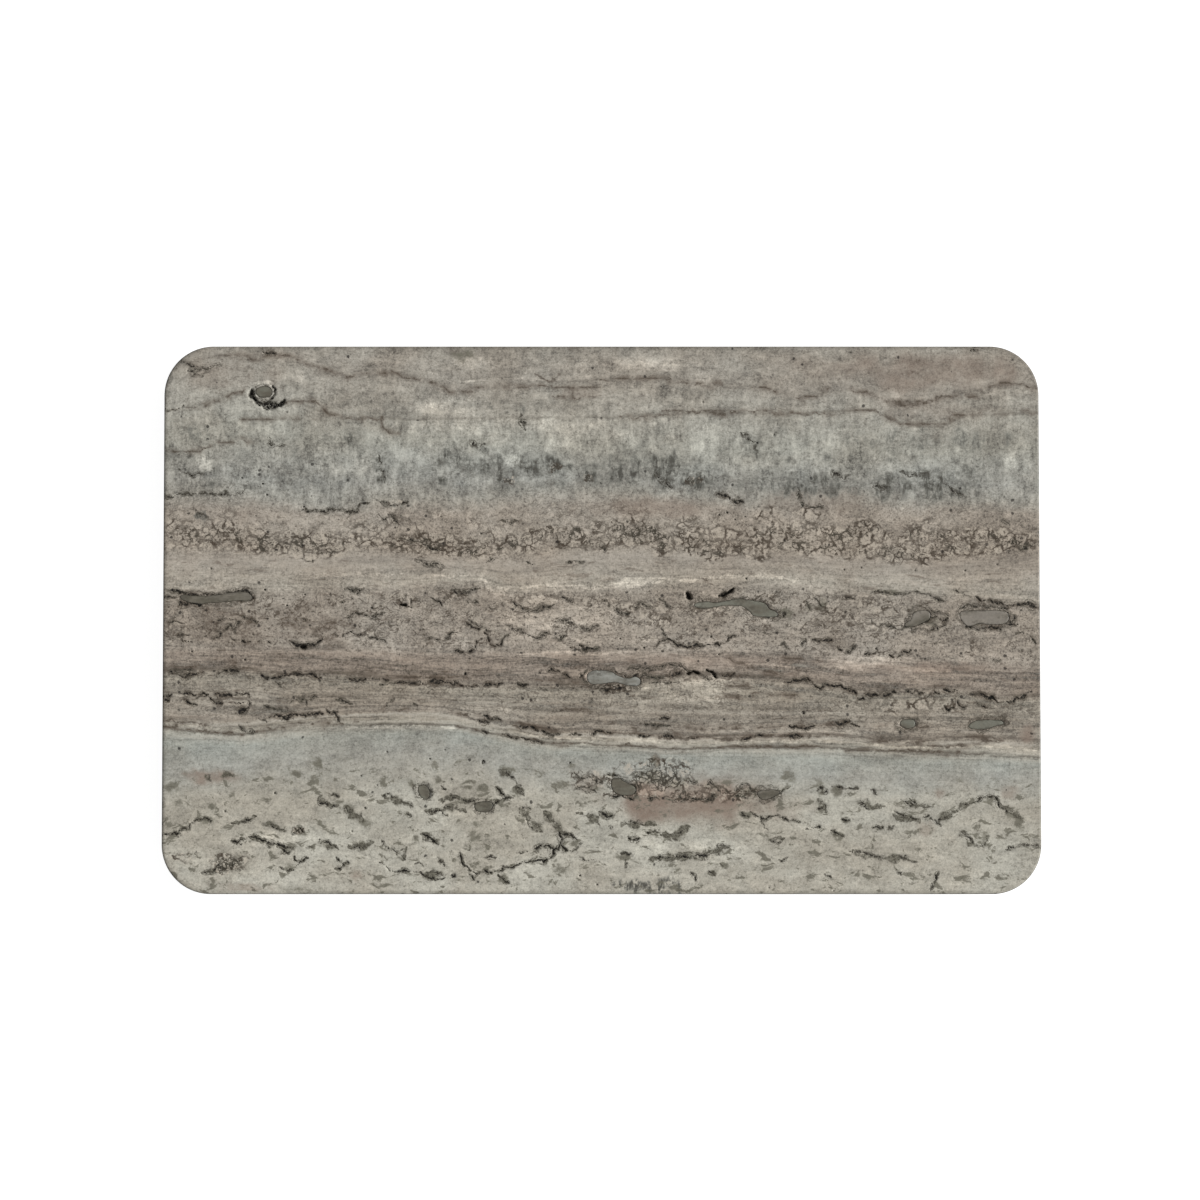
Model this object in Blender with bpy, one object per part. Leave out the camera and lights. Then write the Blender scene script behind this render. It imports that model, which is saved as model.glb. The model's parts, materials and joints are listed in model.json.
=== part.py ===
"""Travertine tray: a flat slab of filled and honed stone on four stick-on feet.

The slab is a rectangle with rounded corners and eased arrises, cut along the beds of the stone, so
its long side runs with them. Some of the stone's natural holes are filled with a smooth mastic: each
filling is its own plug, seated in its own pocket. A few holes stay open. Under each corner a round
disc of double-sided adhesive holds a soft bumper foot.

Metres, +Z up. The origin is on the table under the middle of the slab, +X runs along the slab and
-Y points to its front. Lengths are named below. Places on the slab are shares of its length and
width, measured from its middle, and the points of an outline are shares of its own length and width.
"""
import math

import bmesh
import bpy

# Slab
SLAB_LENGTH = 0.400
SLAB_WIDTH = 0.250
SLAB_THICKNESS = 0.015
CORNER_RADIUS = 0.0225
ARRIS_EASE = 0.0010
CORNER_STEPS = 12
ARRIS_STEPS = 3

# Fit between pieces that touch
SEAT_GAP = 0.0003
CUT_OVERRUN = 0.002

# Feet and the adhesive that holds them
FOOT_DIAMETER = 0.016
FOOT_FACE_DIAMETER = 0.0136
FOOT_HEIGHT = 0.003
FOOT_RIM_HEIGHT = 0.0009
FOOT_INSET = 0.030
FOOT_ROUND_STEPS = 4
ADHESIVE_DIAMETER = 0.0145
ADHESIVE_THICKNESS = 0.0006
TURNED_STEPS = 32

# Filling plugs: how deep they sit, how far honing leaves them below the stone, and the bevel of
# their lower rim
FILL_DEPTH = 0.0030
FILL_DIP = 0.0001
FILL_CHAMFER = 0.0003
OVAL_POINTS = 14

BACK_LEFT_LENGTH = 0.0080
BACK_LEFT_WIDTH = 0.0055
BACK_LEFT_PLACE_SHARES = (-0.386, 0.416)

LEFT_LENS_LENGTH = 0.0328
LEFT_LENS_WIDTH = 0.0055
LEFT_LENS_PLACE_SHARES = (-0.439, 0.039)
LEFT_LENS_OUTLINE_SHARES = (
    (-0.50, 0.25), (-0.50, -0.08), (-0.40, -0.33), (-0.24, -0.50), (-0.06, -0.42),
    (0.14, -0.33), (0.33, -0.25), (0.47, -0.25), (0.50, 0.08), (0.43, 0.46),
    (0.31, 0.50), (0.17, 0.42), (0.00, 0.25), (-0.18, 0.17), (-0.36, 0.21),
)

MID_SEAM_LENGTH = 0.0383
MID_SEAM_WIDTH = 0.0084
MID_SEAM_PLACE_SHARES = (0.153, 0.021)
MID_SEAM_OUTLINE_SHARES = (
    (-0.50, 0.21), (-0.48, 0.02), (-0.36, -0.04), (-0.20, 0.07), (-0.06, 0.12),
    (0.07, 0.07), (0.15, -0.15), (0.21, -0.44), (0.35, -0.50), (0.50, -0.47),
    (0.49, -0.25), (0.40, -0.04), (0.36, 0.23), (0.20, 0.39), (0.05, 0.50),
    (-0.10, 0.39), (-0.23, 0.29), (-0.36, 0.34),
)

RIGHT_LENS_LENGTH = 0.0123
RIGHT_LENS_WIDTH = 0.0075
RIGHT_LENS_PLACE_SHARES = (0.360, 0.001)
RIGHT_LENS_OUTLINE_SHARES = (
    (-0.50, -0.41), (-0.24, -0.50), (0.02, -0.41), (0.24, -0.22), (0.46, -0.04),
    (0.50, 0.20), (0.43, 0.47), (0.06, 0.50), (-0.17, 0.32), (-0.24, -0.04),
)

RIGHT_OVAL_LENGTH = 0.0223
RIGHT_OVAL_WIDTH = 0.0073
RIGHT_OVAL_PLACE_SHARES = (0.436, 0.001)
RIGHT_OVAL_OUTLINE_SHARES = (
    (-0.50, 0.38), (-0.44, -0.19), (-0.30, -0.50), (-0.13, -0.31), (0.11, -0.38),
    (0.42, -0.31), (0.50, -0.13), (0.50, 0.31), (0.38, 0.50), (0.01, 0.50), (-0.34, 0.50),
)

MID_PATCH_LENGTH = 0.0246
MID_PATCH_WIDTH = 0.0068
MID_PATCH_PLACE_SHARES = (0.014, -0.107)
MID_PATCH_OUTLINE_SHARES = (
    (-0.50, 0.17), (-0.44, -0.37), (-0.22, -0.40), (0.02, -0.30), (0.26, -0.50),
    (0.46, -0.50), (0.50, -0.17), (0.41, 0.10), (0.24, -0.03), (0.07, 0.17),
    (-0.04, 0.43), (-0.22, 0.50), (-0.41, 0.47),
)

FRONT_VUG_LENGTH = 0.0114
FRONT_VUG_WIDTH = 0.0080
FRONT_VUG_PLACE_SHARES = (0.025, -0.305)
FRONT_VUG_OUTLINE_SHARES = (
    (-0.50, 0.10), (-0.42, -0.24), (-0.22, -0.44), (0.10, -0.50), (0.38, -0.44),
    (0.50, -0.24), (0.46, -0.01), (0.30, 0.13), (0.06, 0.30), (-0.22, 0.50), (-0.46, 0.42),
)

FRONT_SEAM_LENGTH = 0.0105
FRONT_SEAM_WIDTH = 0.0046
FRONT_SEAM_PLACE_SHARES = (0.190, -0.320)
FRONT_SEAM_OUTLINE_SHARES = (
    (-0.50, 0.30), (-0.41, -0.30), (-0.20, -0.50), (0.20, -0.20), (0.50, 0.25),
    (0.28, 0.50), (-0.15, 0.50),
)

RIGHT_DIAMOND_LENGTH = 0.0073
RIGHT_DIAMOND_WIDTH = 0.0041
RIGHT_DIAMOND_PLACE_SHARES = (0.348, -0.191)
RIGHT_DIAMOND_OUTLINE_SHARES = (
    (-0.50, 0.06), (-0.31, -0.39), (0.13, -0.50), (0.50, -0.17), (0.44, 0.44), (-0.19, 0.50),
)

RIGHT_LEAF_LENGTH = 0.0164
RIGHT_LEAF_WIDTH = 0.0043
RIGHT_LEAF_PLACE_SHARES = (0.438, -0.192)
RIGHT_LEAF_OUTLINE_SHARES = (
    (-0.50, -0.28), (-0.25, -0.50), (0.06, -0.44), (0.28, -0.13), (0.50, 0.19),
    (0.19, 0.50), (-0.17, 0.50), (-0.39, 0.29),
)

FRONT_SQUARE_LENGTH = 0.0082
FRONT_SQUARE_WIDTH = 0.0046
FRONT_SQUARE_PLACE_SHARES = (-0.134, -0.342)
FRONT_SQUARE_OUTLINE_SHARES = (
    (-0.50, 0.30), (-0.44, -0.30), (-0.17, -0.50), (0.33, -0.40), (0.50, 0.00),
    (0.44, 0.50), (-0.33, 0.50),
)

FRONT_OVAL_LENGTH = 0.0059
FRONT_OVAL_WIDTH = 0.0068
FRONT_OVAL_PLACE_SHARES = (-0.202, -0.315)
FRONT_OVAL_OUTLINE_SHARES = (
    (-0.50, 0.30), (-0.31, -0.23), (0.04, -0.50), (0.31, -0.43), (0.50, -0.10),
    (0.38, 0.23), (0.12, 0.50), (-0.27, 0.47),
)

# Holes that stay open. They are shallow, and the two black ones go deeper
HOLE_DEPTH = 0.0014
DEEP_HOLE_DEPTH = 0.0032
HOLE_CHAMFER = 0.0002

CRESCENT_LENGTH = 0.0160
CRESCENT_WIDTH = 0.0080
CRESCENT_PLACE_SHARES = (-0.381, 0.403)
CRESCENT_OUTLINE_SHARES = (
    (-0.50, 0.45), (-0.48, 0.05), (-0.34, -0.30), (-0.09, -0.50), (0.24, -0.41),
    (0.50, -0.13), (0.44, -0.01), (0.21, -0.21), (-0.06, -0.27), (-0.28, -0.12),
    (-0.42, 0.18), (-0.44, 0.50),
)

WEDGE_HOLE_LENGTH = 0.0059
WEDGE_HOLE_WIDTH = 0.0030
WEDGE_HOLE_PLACE_SHARES = (0.140, 0.046)
WEDGE_HOLE_OUTLINE_SHARES = (
    (-0.50, -0.42), (-0.04, -0.50), (0.42, -0.11), (0.50, 0.35), (0.27, 0.35),
    (0.00, 0.50), (-0.19, -0.03),
)

CLAW_HOLE_LENGTH = 0.0025
CLAW_HOLE_WIDTH = 0.0032
CLAW_HOLE_PLACE_SHARES = (0.099, 0.041)
CLAW_HOLE_OUTLINE_SHARES = (
    (-0.50, 0.00), (-0.14, -0.12), (0.13, -0.50), (0.50, -0.43), (0.22, 0.14), (-0.14, 0.50),
)

ARCH_LENGTH = 0.0150
ARCH_WIDTH = 0.0043
ARCH_PLACE_SHARES = (0.113, -0.099)
ARCH_OUTLINE_SHARES = (
    (-0.50, 0.08), (-0.35, -0.09), (-0.14, 0.10), (0.08, 0.15), (0.29, -0.09),
    (0.41, -0.50), (0.50, -0.44), (0.41, 0.08), (0.20, 0.45), (-0.05, 0.50), (-0.32, 0.40),
)

PIT_LENGTH = 0.0050
PIT_WIDTH = 0.0020
PIT_PLACE_SHARES = (-0.405, -0.043)

HOLLOW_LENGTH = 0.0064
HOLLOW_WIDTH = 0.0036
HOLLOW_PLACE_SHARES = (-0.224, 0.028)

FRONT_PIT_LENGTH = 0.0087
FRONT_PIT_WIDTH = 0.0022
FRONT_PIT_PLACE_SHARES = (-0.372, -0.162)
FRONT_PIT_OUTLINE_SHARES = (
    (-0.50, -0.10), (-0.24, -0.42), (0.18, -0.50), (0.45, -0.20), (0.50, 0.50),
    (0.30, 0.40), (-0.14, 0.12),
)

ROUND_HOLE_DIAMETER = 0.0027
ROUND_HOLE_PLACE_SHARES = (0.230, -0.170)

# Colours, roughness and metallic value of each material
STONE_COLOUR = (0.290, 0.267, 0.225)
GREEN_GREY_COLOUR = (0.150, 0.148, 0.118)
BROWN_GREY_COLOUR = (0.190, 0.170, 0.145)
BLUE_GREY_COLOUR = (0.270, 0.268, 0.235)
FOOT_COLOUR = (0.035, 0.033, 0.031)
ADHESIVE_COLOUR = (0.620, 0.600, 0.540)
STONE_ROUGHNESS = 0.55
FILL_ROUGHNESS = 0.42
FOOT_ROUGHNESS = 0.70
ADHESIVE_ROUGHNESS = 0.60
PLAIN_METALLIC = 0.0

FULL_TURN = 2 * math.pi
QUARTER_TURN = math.pi / 2
ARRIS_ANGLE = math.radians(40)
SMOOTH_ANGLE = math.radians(30)
# Two points of a turned profile that meet on the axis are merged below this distance
WELD_DISTANCE = 0.00001

# Heights that follow from the sizes above: foot, adhesive and slab, with a seat gap between them
ADHESIVE_LOW = FOOT_HEIGHT + SEAT_GAP
SLAB_LOW = ADHESIVE_LOW + ADHESIVE_THICKNESS + SEAT_GAP
SLAB_TOP = SLAB_LOW + SLAB_THICKNESS


def clear_scene():
    """Removes every object of the scene that the script starts in."""
    for old in list(bpy.data.objects):
        bpy.data.objects.remove(old, do_unlink=True)


def plain_material(name, colour, roughness):
    """A Principled material with one colour and roughness."""
    material = bpy.data.materials.new(name)
    material.use_nodes = True
    shader = material.node_tree.nodes["Principled BSDF"]
    shader.inputs["Base Color"].default_value = (*colour, 1.0)
    shader.inputs["Roughness"].default_value = roughness
    shader.inputs["Metallic"].default_value = PLAIN_METALLIC
    return material


def object_from(bm, name, material):
    """Turns a bmesh into a named object with one material, faces pointing outwards."""
    bmesh.ops.recalc_face_normals(bm, faces=bm.faces)
    mesh = bpy.data.meshes.new(name)
    bm.to_mesh(mesh)
    bm.free()
    piece = bpy.data.objects.new(name, mesh)
    bpy.context.scene.collection.objects.link(piece)
    if material is not None:
        mesh.materials.append(material)
    return piece


def slab_place(place_shares):
    """The point of the slab's face at the given shares of its length and width."""
    return place_shares[0] * SLAB_LENGTH, place_shares[1] * SLAB_WIDTH


def outline_on_slab(place_shares, length, width, outline_shares):
    """An outline's points, counter-clockwise, round its place on the slab."""
    centre_x, centre_y = slab_place(place_shares)
    return [(centre_x + u * length, centre_y + v * width) for u, v in outline_shares]


def oval_on_slab(place_shares, length, width):
    """The points of an oval with the given length and width, round its place on the slab."""
    turns = [FULL_TURN * step / OVAL_POINTS for step in range(OVAL_POINTS)]
    oval_shares = [(math.cos(turn) / 2, math.sin(turn) / 2) for turn in turns]
    return outline_on_slab(place_shares, length, width, oval_shares)


def widened(points, distance):
    """An outline moved outwards: each corner shifts along its mitre, so each side moves by distance."""
    moved = []
    for index, (x, y) in enumerate(points):
        before_x, before_y = points[index - 1]
        after_x, after_y = points[(index + 1) % len(points)]
        in_length = math.hypot(x - before_x, y - before_y)
        out_length = math.hypot(after_x - x, after_y - y)
        in_normal = ((y - before_y) / in_length, (before_x - x) / in_length)
        out_normal = ((after_y - y) / out_length, (x - after_x) / out_length)
        sum_x = in_normal[0] + out_normal[0]
        sum_y = in_normal[1] + out_normal[1]
        reach = 2 * distance / (sum_x * sum_x + sum_y * sum_y)
        moved.append((x + sum_x * reach, y + sum_y * reach))
    return moved


def add_plug(bm, points, low, top, chamfer):
    """Adds a straight-sided plug to a bmesh: the outline at top, drawn down to low, lower rim bevelled."""
    rim = [bm.verts.new((x, y, top)) for x, y in points]
    face = bm.faces.new(rim)
    drawn = bmesh.ops.extrude_face_region(bm, geom=[face], use_keep_orig=True)
    lower_verts = [item for item in drawn["geom"] if isinstance(item, bmesh.types.BMVert)]
    bmesh.ops.translate(bm, verts=lower_verts, vec=(0.0, 0.0, low + chamfer - top))
    lower_face = next(item for item in drawn["geom"] if isinstance(item, bmesh.types.BMFace))
    bmesh.ops.inset_region(bm, faces=[lower_face], thickness=chamfer, use_even_offset=True)
    bmesh.ops.translate(bm, verts=lower_face.verts, vec=(0.0, 0.0, -chamfer))


def fill_list():
    """Every filling: its name, its outline on the slab and its material's name."""
    return [
        ("fill_back_left", oval_on_slab(BACK_LEFT_PLACE_SHARES, BACK_LEFT_LENGTH, BACK_LEFT_WIDTH),
         "green_grey_filler"),
        ("fill_left_lens", outline_on_slab(LEFT_LENS_PLACE_SHARES, LEFT_LENS_LENGTH, LEFT_LENS_WIDTH,
                                           LEFT_LENS_OUTLINE_SHARES), "brown_grey_filler"),
        ("fill_mid_seam", outline_on_slab(MID_SEAM_PLACE_SHARES, MID_SEAM_LENGTH, MID_SEAM_WIDTH,
                                          MID_SEAM_OUTLINE_SHARES), "green_grey_filler"),
        ("fill_right_lens", outline_on_slab(RIGHT_LENS_PLACE_SHARES, RIGHT_LENS_LENGTH, RIGHT_LENS_WIDTH,
                                            RIGHT_LENS_OUTLINE_SHARES), "brown_grey_filler"),
        ("fill_right_oval", outline_on_slab(RIGHT_OVAL_PLACE_SHARES, RIGHT_OVAL_LENGTH, RIGHT_OVAL_WIDTH,
                                            RIGHT_OVAL_OUTLINE_SHARES), "brown_grey_filler"),
        ("fill_mid_patch", outline_on_slab(MID_PATCH_PLACE_SHARES, MID_PATCH_LENGTH, MID_PATCH_WIDTH,
                                           MID_PATCH_OUTLINE_SHARES), "blue_grey_filler"),
        ("fill_front_vug", outline_on_slab(FRONT_VUG_PLACE_SHARES, FRONT_VUG_LENGTH, FRONT_VUG_WIDTH,
                                           FRONT_VUG_OUTLINE_SHARES), "green_grey_filler"),
        ("fill_front_seam", outline_on_slab(FRONT_SEAM_PLACE_SHARES, FRONT_SEAM_LENGTH, FRONT_SEAM_WIDTH,
                                            FRONT_SEAM_OUTLINE_SHARES), "brown_grey_filler"),
        ("fill_right_diamond", outline_on_slab(RIGHT_DIAMOND_PLACE_SHARES, RIGHT_DIAMOND_LENGTH,
                                               RIGHT_DIAMOND_WIDTH, RIGHT_DIAMOND_OUTLINE_SHARES),
         "green_grey_filler"),
        ("fill_right_leaf", outline_on_slab(RIGHT_LEAF_PLACE_SHARES, RIGHT_LEAF_LENGTH, RIGHT_LEAF_WIDTH,
                                            RIGHT_LEAF_OUTLINE_SHARES), "green_grey_filler"),
        ("fill_front_square", outline_on_slab(FRONT_SQUARE_PLACE_SHARES, FRONT_SQUARE_LENGTH,
                                              FRONT_SQUARE_WIDTH, FRONT_SQUARE_OUTLINE_SHARES),
         "green_grey_filler"),
        ("fill_front_oval", outline_on_slab(FRONT_OVAL_PLACE_SHARES, FRONT_OVAL_LENGTH, FRONT_OVAL_WIDTH,
                                            FRONT_OVAL_OUTLINE_SHARES), "green_grey_filler"),
    ]


def open_hole_list():
    """Every hole left open: its outline on the slab and its depth."""
    return [
        (outline_on_slab(CRESCENT_PLACE_SHARES, CRESCENT_LENGTH, CRESCENT_WIDTH,
                         CRESCENT_OUTLINE_SHARES), HOLE_DEPTH),
        (outline_on_slab(WEDGE_HOLE_PLACE_SHARES, WEDGE_HOLE_LENGTH, WEDGE_HOLE_WIDTH,
                         WEDGE_HOLE_OUTLINE_SHARES), DEEP_HOLE_DEPTH),
        (outline_on_slab(CLAW_HOLE_PLACE_SHARES, CLAW_HOLE_LENGTH, CLAW_HOLE_WIDTH,
                         CLAW_HOLE_OUTLINE_SHARES), DEEP_HOLE_DEPTH),
        (outline_on_slab(ARCH_PLACE_SHARES, ARCH_LENGTH, ARCH_WIDTH, ARCH_OUTLINE_SHARES), HOLE_DEPTH),
        (oval_on_slab(PIT_PLACE_SHARES, PIT_LENGTH, PIT_WIDTH), HOLE_DEPTH),
        (oval_on_slab(HOLLOW_PLACE_SHARES, HOLLOW_LENGTH, HOLLOW_WIDTH), HOLE_DEPTH),
        (outline_on_slab(FRONT_PIT_PLACE_SHARES, FRONT_PIT_LENGTH, FRONT_PIT_WIDTH,
                         FRONT_PIT_OUTLINE_SHARES), HOLE_DEPTH),
        (oval_on_slab(ROUND_HOLE_PLACE_SHARES, ROUND_HOLE_DIAMETER, ROUND_HOLE_DIAMETER), HOLE_DEPTH),
    ]


def slab_outline():
    """The slab's outline from above: four quarter arcs joined by its straight sides."""
    centre_x = SLAB_LENGTH / 2 - CORNER_RADIUS
    centre_y = SLAB_WIDTH / 2 - CORNER_RADIUS
    centres = ((centre_x, centre_y), (-centre_x, centre_y), (-centre_x, -centre_y), (centre_x, -centre_y))
    points = []
    for quarter, (x, y) in enumerate(centres):
        for step in range(CORNER_STEPS + 1):
            turn = QUARTER_TURN * (quarter + step / CORNER_STEPS)
            points.append((x + CORNER_RADIUS * math.cos(turn), y + CORNER_RADIUS * math.sin(turn)))
    return points


def hidden_cutter(bm, name):
    """A cutter: drawn as wire and left out of the render."""
    cutter = object_from(bm, name, None)
    cutter.hide_render = True
    cutter.display_type = "WIRE"
    return cutter


def make_slab(material):
    """The stone slab: its outline drawn up, arrises eased, then the pockets and open holes cut in."""
    bm = bmesh.new()
    face = bm.faces.new([bm.verts.new((x, y, SLAB_LOW)) for x, y in slab_outline()])
    drawn = bmesh.ops.extrude_face_region(bm, geom=[face], use_keep_orig=True)
    upper_verts = [item for item in drawn["geom"] if isinstance(item, bmesh.types.BMVert)]
    bmesh.ops.translate(bm, verts=upper_verts, vec=(0.0, 0.0, SLAB_THICKNESS))
    slab = object_from(bm, "stone_slab", material)

    ease = slab.modifiers.new("arris", "BEVEL")
    ease.width = ARRIS_EASE
    ease.segments = ARRIS_STEPS
    ease.limit_method = "ANGLE"
    ease.angle_limit = ARRIS_ANGLE

    pockets = bmesh.new()
    for _name, points, _material_name in fill_list():
        add_plug(pockets, widened(points, SEAT_GAP), SLAB_TOP - FILL_DEPTH - SEAT_GAP,
                 SLAB_TOP + CUT_OVERRUN, FILL_CHAMFER)
    holes = bmesh.new()
    for points, depth in open_hole_list():
        add_plug(holes, points, SLAB_TOP - depth, SLAB_TOP + CUT_OVERRUN, HOLE_CHAMFER)
    for cutter in (hidden_cutter(pockets, "pocket_cutter"), hidden_cutter(holes, "hole_cutter")):
        cut = slab.modifiers.new(cutter.name, "BOOLEAN")
        cut.operation = "DIFFERENCE"
        cut.solver = "EXACT"
        cut.object = cutter
    return slab


def make_fills(materials):
    """The filling plugs, each flush with the stone but for the little that honing takes off."""
    for name, points, material_name in fill_list():
        bm = bmesh.new()
        add_plug(bm, points, SLAB_TOP - FILL_DEPTH, SLAB_TOP - FILL_DIP, FILL_CHAMFER)
        object_from(bm, name, materials[material_name])


def turned(name, profile, material):
    """A round piece: a profile of (radius, height) points from axis to axis, turned about Z."""
    bm = bmesh.new()
    verts = [bm.verts.new((radius, 0.0, height)) for radius, height in profile]
    edges = [bm.edges.new(pair) for pair in zip(verts, verts[1:])]
    bmesh.ops.spin(bm, geom=verts + edges, cent=(0.0, 0.0, 0.0), axis=(0.0, 0.0, 1.0),
                   angle=FULL_TURN, steps=TURNED_STEPS, use_merge=True)
    bmesh.ops.remove_doubles(bm, verts=bm.verts, dist=WELD_DISTANCE)
    piece = object_from(bm, name, material)
    piece.data.shade_smooth()
    piece.data.set_sharp_from_angle(angle=SMOOTH_ANGLE)
    return piece


def foot_profile():
    """A bumper's profile: flat contact face, a rounded flank up to a short upright rim, flat top."""
    face_radius = FOOT_FACE_DIAMETER / 2
    radius = FOOT_DIAMETER / 2
    round_height = FOOT_HEIGHT - FOOT_RIM_HEIGHT
    points = [(0.0, 0.0), (face_radius, 0.0)]
    for step in range(1, FOOT_ROUND_STEPS + 1):
        turn = QUARTER_TURN * step / FOOT_ROUND_STEPS
        points.append((face_radius + (radius - face_radius) * math.sin(turn),
                       round_height * (1 - math.cos(turn))))
    points.append((radius, FOOT_HEIGHT))
    points.append((0.0, FOOT_HEIGHT))
    return points


def make_feet(foot_material, adhesive_material):
    """Four bumpers and their adhesive discs, each under a corner at the same inset from both sides."""
    adhesive_profile = [
        (0.0, 0.0), (ADHESIVE_DIAMETER / 2, 0.0),
        (ADHESIVE_DIAMETER / 2, ADHESIVE_THICKNESS), (0.0, ADHESIVE_THICKNESS),
    ]
    for side, side_sign in (("left", -1), ("right", 1)):
        for end, end_sign in (("front", -1), ("back", 1)):
            x = side_sign * (SLAB_LENGTH / 2 - FOOT_INSET)
            y = end_sign * (SLAB_WIDTH / 2 - FOOT_INSET)
            foot = turned(f"foot_{end}_{side}", foot_profile(), foot_material)
            foot.location = (x, y, 0.0)
            disc = turned(f"adhesive_{end}_{side}", adhesive_profile, adhesive_material)
            disc.location = (x, y, ADHESIVE_LOW)


def main():
    clear_scene()
    stone = plain_material("travertine", STONE_COLOUR, STONE_ROUGHNESS)
    fillers = {
        "green_grey_filler": plain_material("green_grey_filler", GREEN_GREY_COLOUR, FILL_ROUGHNESS),
        "brown_grey_filler": plain_material("brown_grey_filler", BROWN_GREY_COLOUR, FILL_ROUGHNESS),
        "blue_grey_filler": plain_material("blue_grey_filler", BLUE_GREY_COLOUR, FILL_ROUGHNESS),
    }
    make_slab(stone)
    make_fills(fillers)
    make_feet(plain_material("foot_rubber", FOOT_COLOUR, FOOT_ROUGHNESS),
              plain_material("foot_adhesive", ADHESIVE_COLOUR, ADHESIVE_ROUGHNESS))


main()
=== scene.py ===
"""The travertine tray, dressed: a honed slab of banded stone, the fillings in its holes, and its feet.

The slab's face is first worked out as maps of the stone, with a node every 0.42 mm. Cracks, veins, pits
and stains are drawn on the maps along given lines. The mesh then takes every node where a map changes
quickly and few nodes where the stone is plain, so that cracks and holes are cut into the mesh.
What each node holds of dirt, of shade painted into holes and cracks, of vein or of stain goes into the mesh's
attributes, which the stone's material reads. The material adds the colours of the beds, the fine laminae, the
grain and the mottling.
"""
import json
import math

import bmesh
import bpy
import numpy as np
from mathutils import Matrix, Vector
from mathutils.geometry import delaunay_2d_cdt


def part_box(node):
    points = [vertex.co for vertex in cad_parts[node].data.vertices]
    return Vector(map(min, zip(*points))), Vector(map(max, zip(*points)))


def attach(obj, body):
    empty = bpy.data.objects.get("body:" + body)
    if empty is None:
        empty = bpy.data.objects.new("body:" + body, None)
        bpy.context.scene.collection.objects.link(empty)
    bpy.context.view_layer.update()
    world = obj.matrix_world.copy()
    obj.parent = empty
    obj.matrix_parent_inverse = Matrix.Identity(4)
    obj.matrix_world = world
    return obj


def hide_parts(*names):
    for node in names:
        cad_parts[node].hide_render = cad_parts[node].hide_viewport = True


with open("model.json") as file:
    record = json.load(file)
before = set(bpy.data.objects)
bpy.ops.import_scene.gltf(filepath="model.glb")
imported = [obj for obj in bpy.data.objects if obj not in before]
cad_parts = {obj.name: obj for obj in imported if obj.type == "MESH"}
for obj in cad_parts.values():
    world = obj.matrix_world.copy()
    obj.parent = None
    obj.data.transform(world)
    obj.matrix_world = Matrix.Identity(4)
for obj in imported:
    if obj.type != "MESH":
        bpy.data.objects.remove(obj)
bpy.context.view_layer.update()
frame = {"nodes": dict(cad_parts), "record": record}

MM = 0.001

# The slab as packed
SLAB_LOW, SLAB_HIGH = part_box("stone_slab")
LENGTH = SLAB_HIGH.x - SLAB_LOW.x
WIDTH = SLAB_HIGH.y - SLAB_LOW.y
TOP = SLAB_HIGH.z
BOTTOM = SLAB_LOW.z
CORNER_RADIUS = 22.5 * MM
ARRIS = 1.0 * MM
FILLINGS = sorted(name for name in frame["nodes"] if name.startswith("fill_"))

# Where the slab lies in the photograph's frame of 1200 by 1200, and how it widens towards the front
PHOTO_MID_X = 601.5
PHOTO_BACK_Y = 345.9
PHOTO_FRONT_Y = 893.5
PHOTO_MID_Y = (PHOTO_BACK_Y + PHOTO_FRONT_Y) / 2
PHOTO_HALF_LENGTH = 438.6
PHOTO_WIDENING = 0.00625
PIXEL = LENGTH / (2 * PHOTO_HALF_LENGTH)

# The maps of the face
COLUMNS = 953
ROWS = 596
STEP_X = LENGTH / (COLUMNS - 1)
STEP_Y = WIDTH / (ROWS - 1)
JUST_INSIDE = 0.001
MAP_NAMES = ("dirt_and_hollow_shade", "vein", "cream", "olive", "clots", "cloud", "blush", "lace")
HOLE_DEPTH = 2.6 * MM
HOLE_POWER = 1.3
CRACK_DEPTH = 0.6 * MM
CRACK_POWER = 1.5
FINE_CRACK_DEPTH = 0.2 * MM
STAIN_GAIN = 0.65
CLOT_GAIN = 1.1
CLUSTER_GAIN = 1.9

# Smooth random fields come from one seeded square of numbers, which each seed reads from another place
LATTICE = 64
RANDOM_TABLE = np.random.default_rng(7).uniform(-1, 1, (LATTICE, LATTICE))
SEED_SHIFT_X = 13.7
SEED_SHIFT_Y = 7.3

# Lines drawn on the maps. Lengths are in pixels of the photograph, and the thinnest half width in nodes
POINTS_PER_PIXEL = 2
BROAD_SWAY_CELLS = (5, 4)
FINE_SWAY_CELLS = (2.2, 1.8)
FINE_SWAY = 0.8
BROAD_SWELL_CELL = 7
FINE_SWELL_CELL = 3
FINE_SHARE = 0.5
END_WIDTH = 0.45
TAPER_LENGTH = 4
THINNEST = 0.4
LINE_REACH = 1.35

# Ovals drawn on the maps: the shares of their size between which they fade out, and the cells of their edges
OVAL_FULL = 0.35
OVAL_END = 1.25
OVAL_REACH = 1.8
OVAL_MARGIN = 2
SMALLEST_OVAL_CELL = 4.0
FINE_OVAL_CELL = 0.4
PIT_VARIATION = 0.25
PIT_CELL = 9
PIT_ROUGHNESS = 0.2

# Which nodes the face's mesh takes, and how much a map's change counts for that
COARSE = 5
BUSY_CHANGE = 0.26
NEAR_BUSY = 3
WEIGHTS = {"dirt_and_hollow_shade": 0.9, "vein": 0.5, "cream": 0.6, "olive": 0.5, "clots": 0.3, "cloud": 0.3, "blush": 0.3,
           "lace": 0.6, "depth": 1 / (1.2 * MM)}
ARRIS_MARGIN = 0.3 * MM
GROOVE = 0.12 * MM
GROOVE_SLOPE = 0.06 * MM
GROOVE_MARGIN = 0.2 * MM
RIM_LINE_MARGIN = 0.25 * MM
BELOW_FILLING = 0.05 * MM

# Below these, two flat points are one and a triangle is none
SAME_POINT = 1e-9
NO_AREA = 1e-14

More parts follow.
